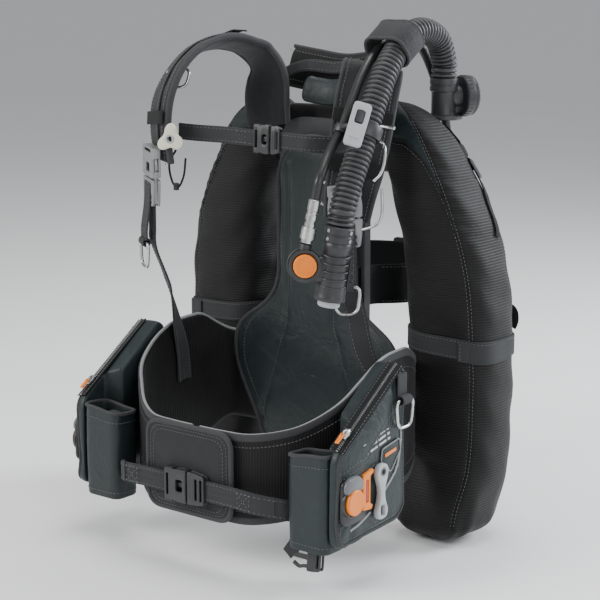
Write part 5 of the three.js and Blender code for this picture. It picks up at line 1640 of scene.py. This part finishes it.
# %% The bag
OUTER, INNER = 204.0, 166.8
bag_outline = rounded([(-227, 57), (-112, 62), (-99, 74), (-99, 243), (-111, 249), (-227, 165)], 13, 9)
bag_outline = even(np.vstack([bag_outline, bag_outline[:1]]), 161)[:-1]
bag_middle = np.column_stack([np.clip(bag_outline[:, 0], -190, -140), 116 + (bag_outline[:, 0] + 227) * 0.32])
inner_x = lambda y: INNER + 0.8 + 21.6 * smooth(-y, 178, 190)
rows = []
for share in (0.97, 0.7, 0.4, 0.12, 0.02):
    p = bag_outline + (bag_middle - bag_outline) * share
    rows.append(np.column_stack([inner_x(p[:, 0]), p]))
for share, rise in ((0.0, 0.14), (-0.004, 0.34), (-0.004, 0.6), (0.004, 0.78), (0.03, 0.9), (0.07, 0.97)):
    p = bag_outline + (bag_middle - bag_outline) * share
    base_x = inner_x(bag_outline[:, 0])
    rows.append(np.column_stack([base_x + (OUTER - 1.4 - base_x) * rise, p]))
for share in (0.12, 0.2, 0.3, 0.42, 0.56, 0.7, 0.84, 0.97):
    p = bag_outline + (bag_middle - bag_outline) * share
    rows.append(np.column_stack([np.full(160, OUTER - 2.2 + 1.6 * (1 - (1 - share) ** 2)), p]))
bag_grid = np.stack(rows)
bag_uv = np.concatenate([bag_grid[..., 1:], bag_grid[:, :1, 1:]], 1)


def bag_held(p):
    x = np.abs(p[:, 0])
    return (x < INNER + 14) | ((p[:, 1] < -178) & (x < 190)) | (np.abs(p[:, 1] + 112) < 4) & (x > 203)


def bag_creased(p):
    """Soft folds: long waves that run down from the zip."""
    x = np.abs(p[:, 0])
    outer = smooth(x, 190, 203)
    fold = 1.5 * np.sin((p[:, 2] - 0.5 * p[:, 1]) / 13) * np.sin(p[:, 1] / 31) * outer * (p[:, 2] > 128)
    return p + np.column_stack([np.sign(p[:, 0]) * fold, 0 * fold, 0 * fold])


bags = {}
for name in ("left", "right"):
    made = piece(f"pocket_bag_{name}", [(skin(bag_grid, bag_uv), coated)], stands_for=[f"pocket_{name}"],
        sharp=180, flip=name == "right")
    puff(made, bag_held, 3.0, 3.2)
    settle(made, bag_creased(places(made)))
    smooth_once(made)
    bags[name] = made


def on_bag(points, lift=0.3):
    """Points given as y and z, dropped on to the outer face of the left bag."""
    p = np.asarray(points, float)
    return drape(bags["left"], np.column_stack([np.full(len(p), 260.0), p]), (-1, 0, 0), lift)


def bag_strip(points, width, stuff, thick=1.2, count=60, lift=0.5):
    """A flat tape that follows the bag."""
    line, looks = on_bag(route(points, count), lift)
    return [(sweep(line, looks, flat_band(width, thick, 5)), stuff)]


trim = []
rim_line, looks = on_bag(bag_outline + (bag_middle - bag_outline) * 0.06, 0.2)
trim.append((tube(rim_line, 2.1, (1, 0, 0), 10, closed=True), binding))
seam, looks = on_bag(bag_outline + (bag_middle - bag_outline) * 0.13, 0.2)
trim.append((stitches(seam, looks, 4.4, 3, 0.42), thread))
trim += bag_strip([(-112, 178), (-112, 160), (-125, 128), (-146, 109)], 3.4, piping, 1.8)
trim += bag_strip([(-172, 90), (-188, 83), (-205, 76)], 3.4, piping, 1.8)
for offset in (0, 7):
    line, looks = on_bag(route([(-222, 138 + offset), (-200, 146 + offset), (-180, 150 + offset),
        (-160, 168 + offset), (-108, 206 + offset)], 70), 0.15)
    trim.append((stitches(line, looks, 4.4, 3, 0.42), thread))
slope = np.array([0.0, 130.0, 90.0]) / math.hypot(130, 90)
zip_from, zip_to = np.array([196.0, -222.0, 170.2]), np.array([196.0, -112.0, 246.4])
zip_line = zip_from + (zip_to - zip_from) * np.linspace(0, 1, 40)[:, None]
zip_out = unit(np.array([0.35, -slope[2], slope[1]]))
trim.append((sweep(zip_line + zip_out * 0.4, zip_out, flat_band(19, 1.4, 5)), black_webbing))
trim.append((stitches(zip_line + zip_out * 1.5, zip_out, 2.6, 1.5, 1.9, 0.2), dull_steel))
for edge in (-7.4, 7.4):
    a_cross = unit(np.cross(slope, zip_out))
    trim.append((stitches(zip_line + a_cross * edge + zip_out * 1.2, zip_out, 4.2, 2.8, 0.4, 0.1), thread))
for name in ("left", "right"):
    piece(f"pocket_trim_{name}", trim, sharp=60, flip=name == "right")

# %% Labels, the release and the handle
fittings = []
tag_at = lambda y, z, x=205.6, lean=0.0: seat((x, y, z), (0, 1, 0), (1, 0, 0), lean)
fittings.append((moved(plate([rounded(block(50, 15), 2)], 1.0, 0.3), tag_at(-160, 168, 205.4, -0.2)), label))
badge = rounded([(-17, 10), (17, 16), (19, 2), (0, -20), (-19, -4)], 3)
fittings.append((moved(plate([badge], 1.0, 0.3), tag_at(-134, 148)), coated))
badge_line = even(np.vstack([badge, badge[:1]]), 61)[:-1]
fittings.append((tube(on(tag_at(-134, 148, 206.4), *np.column_stack([badge_line, np.zeros(60)])), 0.8,
    (1, 0, 0), 8, closed=True), piping))
fittings.append((moved(plate([rounded(block(22, 4, 0, 3), 1)], 0.8, 0.2), tag_at(-134, 148, 206.4, -0.17)),
    orange))
base_at = tag_at(-203, 112, 205.0)
fittings.append((moved(plate([rounded(block(45, 53), 9)], 4.6, 1.6), base_at), black_plastic))
fittings.append((hoop_at((205, -209, 112), (1, 0, 0), ring_profile(15.6, 18, 0, 5, 1), 48), dark_plastic))
cap_shape = rounded([(-15, 10), (15, 10), (17, 20), (9, 29), (-9, 29), (-17, 20)], 6)
fittings.append((moved(plate([cap_shape], 9, 3.4, 2), tag_at(-208, 112, 206)), grey_plastic))
frame_at = tag_at(-182, 118, 206.5)
hook_shape = rounded([(-9, -21), (8, -23), (10, -17), (5, -16), (5, 17), (11, 18), (11, 24), (-9, 20)], 2.6)
fittings.append((moved(plate([hook_shape, rounded(block(5, 26, -1, 0), 1.6)], 4.6, 1.2, 1), frame_at),
    orange))
fittings.append((moved(plate([rounded(block(4.4, 25, -1, 0), 1.4)], 3.4, 0.6, 1), frame_at), red))
ring_at = np.array([209.4, -112, 208])
loop_a = np.linspace(0, TAU, 29)[:-1]
circle = np.stack([np.cos(loop_a), 0 * loop_a, np.sin(loop_a)], 1)
fittings.append((sweep(ring_at + circle * 4.6, circle, flat_band(18, 2.2), closed=True), webbing))
keeper_line = np.array([(205.4, -112, z) for z in np.linspace(212, 238, 12)])
fittings.append((sweep(keeper_line, (1, 0, 0), flat_band(18, 2.2)), webbing))
for name in ("left", "right"):
    flip = name == "right"
    piece(f"pocket_fittings_{name}", fittings, sharp=34, flip=flip)
    button = [(lathe((OUTER + 2.6, -209, 112), (1, 0, 0), disc_profile(14.7, 1.8, 7.6, 1.6, -0.8), 48),
        orange)]
    piece(f"release_cap_{name}", button, f"release_button_{name}", [f"release_button_{name}"], 36,
        flip)
    piece(f"hip_link_{name}", [(link(38, 36, 4, tag_at(-112, 208, 209.4), 0.25), steel)], f"hip_ring_{name}",
        [f"hip_ring_{name}"], 38, flip)
    bone = [(0, 33), (8, 31), (11.5, 24), (9, 14), (5.4, 6), (4.6, -4), (6.6, -13), (11, -22), (8.4, -31),
        (0, -33), (-8.4, -31), (-11, -22),
            (-6.6, -13), (-4.6, -4), (-5.4, 6), (-9, 14), (-11.5, 24), (-8, 31)]
    bone_at = tag_at(-158, 112, 210.2)
    eye_hole = oval(8, 8, 2, 16) + (0, 23)
    low_hole = rounded(block(7, 12, 0, -22), 2.4)
    pull = [(moved(plate([rounded(bone, 4, 4), eye_hole, low_hole], 7.4, 2.4), bone_at), clip_plastic)]
    pull.append((hoop_at(on(bone_at, (0, 23, 0))[0], (1, 0, 0), ring_profile(3.2, 5.2, -3.9, 3.9, 0.7), 24),
        grey_plastic))
    cassette_body = "weight_cassette_" + name
    piece(f"pull_bone_{name}", pull, cassette_body, [f"pull_handle_{name}"], 40, flip)
    inside = [(x, y) for x, y in rounded(block(48.4, 32.4), 7, 7)]
    inside = even(np.vstack([inside, inside[:1]]), 81)[:-1]
    brick = pillow(inside, inside * (0.4, 0.1), 93.6, 0,
        at=np.array([[1, 0, 0, 159], [0, 1, 0, -210], [0, 0, 1, 51.6], [0, 0, 0, 1.0]]), edge=4)
    weight = piece(f"weight_pack_{name}", [(brick, ribbed)], cassette_body, [f"weight_cassette_{name}"],
        180, flip)
    smooth_once(weight)
    grip = route([(146, -210, 145), (150, -210, 150), (159, -210, 152), (168, -210, 150), (172, -210, 145)],
        30)
    piece(f"weight_grip_{name}", [(sweep(grip, (0, 0, 1), flat_band(20, 2)), webbing)], cassette_body,
        flip=flip)
    slider_at = seat((196, -206, 181.2 + 5.0), slope, (0, -slope[2], slope[1]))
    slider = [(moved(plate([rounded([(-7, -3), (2, -4.6), (7, -3), (7, 3), (2, 4.6), (-7, 3)], 1.4)], 4.8,
        1.2), slider_at), steel)]
    slider.append((tube(on(slider_at, (-4, 0, 2), (-2, 0, 4.6), (2, 0, 4.6), (4, 0, 2)), 1.0, (1, 0, 0), 8),
        steel))
    slider.append((moved(plate([rounded(block(15, 5, -10, 0), 1.4), oval(2.4, 2.4, 2, 12) + (-4.6, 0)], 1.8,
        0.5, 4.4), slider_at), orange))
    piece(f"zip_pull_{name}", slider, f"zipper_slider_{name}", [f"zipper_slider_{name}"], 34, flip)
print("pockets made")

# %% The front pouch
pouch_shape = even(np.vstack([rounded(block(55, 39), 12, 9), rounded(block(55, 39), 12, 9)[:1]]), 97)[:-1]
levels_z = np.linspace(0, 1, 30)
wall_rows = []
for k in levels_z:
    belly = 1 + 0.035 * math.sin(math.pi * k)
    wall_rows.append((pouch_shape * belly * (1, 1), 49.5 + 108 * k))
outer_rows = [np.column_stack([p + (159, -210), np.full(96, h)]) for p, h in wall_rows]
mouth = 4.5 * np.cos(np.arctan2(pouch_shape[:, 1], pouch_shape[:, 0]) + 0.6)
for k, row in enumerate(outer_rows):
    row[:, 2] += mouth * (k / 29) ** 3 * 0.8
inner_rows = [np.column_stack([(row[:, :2] - (159, -210)) * (51.4 / 55, 35.2 / 39) + (159, -210), row[:, 2]])
    for row in outer_rows]
inner_rows[0][:, 2] += 1.4
floor_rows = [np.column_stack([pouch_shape * s + (159, -210), np.full(96, 48.2 if s < 0.9 else 48.6)])
    for s in (0.05, 0.5, 0.95)]
inner_floor = [np.column_stack([pouch_shape * s * 0.9 + (159, -210), np.full(96, 50.4)])
    for s in (0.95, 0.5, 0.05)]
lip = [np.column_stack([(outer_rows[-1][:, :2] + inner_rows[-1][:, :2]) / 2, outer_rows[-1][:, 2] + 1.6])]
pouch_grid = np.stack(floor_rows + outer_rows + lip + inner_rows[::-1] + inner_floor)
round_it = walked(np.vstack([pouch_shape, pouch_shape[:1]]))
height_it = np.r_[0, np.cumsum(np.linalg.norm(np.diff(pouch_grid, axis=0), axis=2).mean(1))]
pouch_uv = np.stack(np.broadcast_arrays(round_it[None], height_it[:, None]), -1)
mouth_line = outer_rows[-1] + (0, 0, 0.8)
pouch_trim = [(tube(mouth_line, 2.2, (0, 0, 1), 10, closed=True), binding)]
for k, shift in ((26, 0.6), (2, 0.6)):
    around_line = outer_rows[k] + unit(np.column_stack([pouch_shape, np.zeros(96)])) * shift
    pouch_trim.append((stitches(around_line, unit(np.column_stack([pouch_shape, np.zeros(96)])), 4.4, 3, 0.42,
        0), thread))
for name in ("left", "right"):
    flip = name == "right"
    made = piece(f"front_pouch_{name}", [(skin(pouch_grid, pouch_uv), coated)],
        stands_for=[f"weight_sleeve_{name}"], sharp=180, flip=flip)
    smooth_once(made)
    piece(f"front_pouch_trim_{name}", pouch_trim, sharp=60, flip=flip)
print("front pouches made")

# %% [markdown]
# ## Straps round the cell, valves and small things
# A strap round each lobe holds it in when it is empty; it ends in a ladder lock behind. The last pieces are
# the
# rear dump valve, the cream toggle on its cord, a thin pull cord over the cell and a spare plug at the
# pocket.

# %% Compression straps
angles = np.linspace(-172, 172, 120)
z_run = np.full(120, 243.0) - 4 * np.cos(np.radians(angles))
start = on_lobe(z_run, angles)
cx, _, cy, _ = level_at(z_run)
inward = unit(np.column_stack([cx - start[:, 0], cy - start[:, 1], np.zeros(120)]))
strap_line, looks = drape(lobes["left"], start - inward * 30, inward, 1.2)
looks = unit(looks * (1, 1, 0))
side_strap = [(sweep(strap_line, looks, flat_band(25, 2.2), upright=True), webbing)]
for edge in (-9.6, 9.6):
    side_strap.append((stitches(strap_line + looks * 1.1 + (0, 0, edge), looks, 4.8, 3, 0.36, 0.1), thread))
fold = strap_line[34:62] + looks[34:62] * 2.6 + (0, 0, -2.2)
side_strap.append((sweep(fold, looks[34:62], flat_band(24, 2), upright=True), webbing))
end = fold[1]
side_strap += [(stitches(np.linspace(end + (0, 0, -9), end + (0, 0, 9), 4) + looks[35] * 1.2, looks[35], 3.4,
    2.6, 0.42, 0.1), thread)]
lock_at = seat((190, 115.4, 243), (-1, 0, 0), (0, 1, 0))
ladder = [rounded(block(33, 31), 4), rounded(block(26, 5, 0, 8), 1.6), rounded(block(26, 5, 0, -8), 1.6)]
turned_lock = lock_at @ np.array([[0, -1, 0, 0], [1, 0, 0, 0], [0, 0, 1, 0], [0, 0, 0, 1.0]])
side_strap.append((moved(plate(ladder, 6.4, 1.8), turned_lock), dark_plastic))
bow = route([(212, 113, 255), (216, 112, 264), (214, 112, 274), (204, 112, 276), (196, 114, 262),
    (190, 118, 250)], 50)
side_strap.append((sweep(bow, (0, 1, 0.1), flat_band(16, 1.8, 5)), black_webbing))
for name in ("left", "right"):
    piece(f"cell_strap_{name}", side_strap, stands_for=[f"side_strap_{name}"], sharp=50,
        flip=name == "right")

# %% Pull cord over the cell, rear valve, toggle and spare plug
pull_angle = np.linspace(50, 8, 50)
pull_z = np.linspace(500, 372, 50)
start = on_lobe(pull_z, pull_angle)
cx, _, cy, _ = level_at(pull_z)
inward = unit(np.column_stack([cx - start[:, 0], cy - start[:, 1], np.zeros(50)]))
cord_line, looks = drape(lobes["left"], start - inward * 30, inward, 2.0)
pull = [(sweep(cord_line, looks, flat_band(9, 1.6, 5)), black_webbing)]
tab_at = seat(cord_line[20] + looks[20] * 2.4, unit(cord_line[21] - cord_line[19]), looks[20])
pull.append((moved(plate([rounded(block(26, 12), 4), rounded(block(9, 5, 6, 0), 1.6)], 3.6, 1.1), tab_at),
    grey_plastic))
piece("cell_pull_cord", pull, sharp=34)
valve_x, valve_z, valve_seat = -175.0, 104.0, 110.0
back_way = np.array([0.0, 1, 0])
valve = [(lathe((valve_x, valve_seat, valve_z), back_way, [(0.01, 0.6), (24, 0.6), (25, 1.6), (25, 4.6),
    (23.6, 6), (21, 6.4), (20, 7.2), (20, 12.4), (18.6, 14.6), (12, 15.6), (0.01, 15.9)], 56), dark_plastic)]
valve_at = axis_matrix((valve_x, valve_seat, valve_z), back_way)
for k in range(16):
    a = k * TAU / 16
    spoke = on(valve_at, *[(r * math.cos(a), r * math.sin(a), h) for r,
        h in ((8, 15.7), (13, 15.3), (17.6, 14.6))])
    valve.append((tube(spoke, 0.8, back_way, 8), black_plastic))
piece("rear_valve_shell", valve, stands_for=["rear_dump_valve"], sharp=34)
knob = [(0.01, 0), (5, 0.4), (6.8, 3), (6.2, 8), (4.2, 13), (4.4, 18), (4.8, 20.6), (3.4, 22), (0.01, 22)]
knob_from = np.array([valve_x, valve_seat + 10, valve_z - 54])
knob_parts = [(lathe(knob_from, (0, 0, 1), knob, 28), ivory),
    (tube(np.linspace(knob_from + (0, 0, 21), knob_from + (0, 0, 35), 6), 1.1, (1, 0, 0), 8), black_webbing)]
piece("rear_knob", knob_parts, "rear_dump_knob", ["rear_dump_knob"], 50)
toggle_at = seat((-101, -157, 487), (0.87, 0.5, 0), (0.5, -0.87, 0), 0.35)
a = np.linspace(0, TAU, 97)[:-1]
lobed = (13.2 + 3.6 * np.cos(3 * a + 0.5))[:, None] * np.stack([np.cos(a), 1.12 * np.sin(a)], 1)
toggle = [(moved(plate([lobed, oval(7, 6, 2, 20)], 8.6, 2.8), toggle_at), ivory)]
toggle.append((hoop_at((-101, -157, 487), toggle_at[:3, 2], ring_profile(3.4, 5.4, -4.8, 4.8, 0.8), 28),
    clip_plastic))
piece("toggle_clover", toggle, "dump_toggle", ["dump_toggle"], 40)
cord_run = route([(-119, -128, 470), (-121, -138, 455), (-110, -144, 432), (-100, -146, 428),
    (-95, -142, 440), (-98, -134, 462)], 60)
loop_parts = [(tube(cord_run, 1.3, (0, -1, 0), 8), black_webbing),
    (lathe((-104, -145, 424), (0, 0, 1), disc_profile(3.4, 0, 9, 1), 20), black_plastic)]
piece("toggle_cord", loop_parts)
spare_at = seat((150, -213, 36), (0, 0.1, 1), (0, -1, 0.1))
spare = plug_parts((30, 9, 30, 1.8, 20), spare_at, dark_plastic, 20)
hang = route([(120, -213, 46), (128, -213, 40), (132, -213, 36)], 14)
spare.append((sweep(hang, (0, -1, 0), flat_band(20, 2, 5)), webbing))
piece("spare_plug", spare, sharp=34)
dress("lp_hose_fitting", steel)
print("small things made")

# %% [markdown]
# ## Closing
# The view layer is brought up to date. Cloth may stand a little proud of the frame, but the vest may not
# grow.

# %% Bring the view layer up to date
bpy.context.view_layer.update()
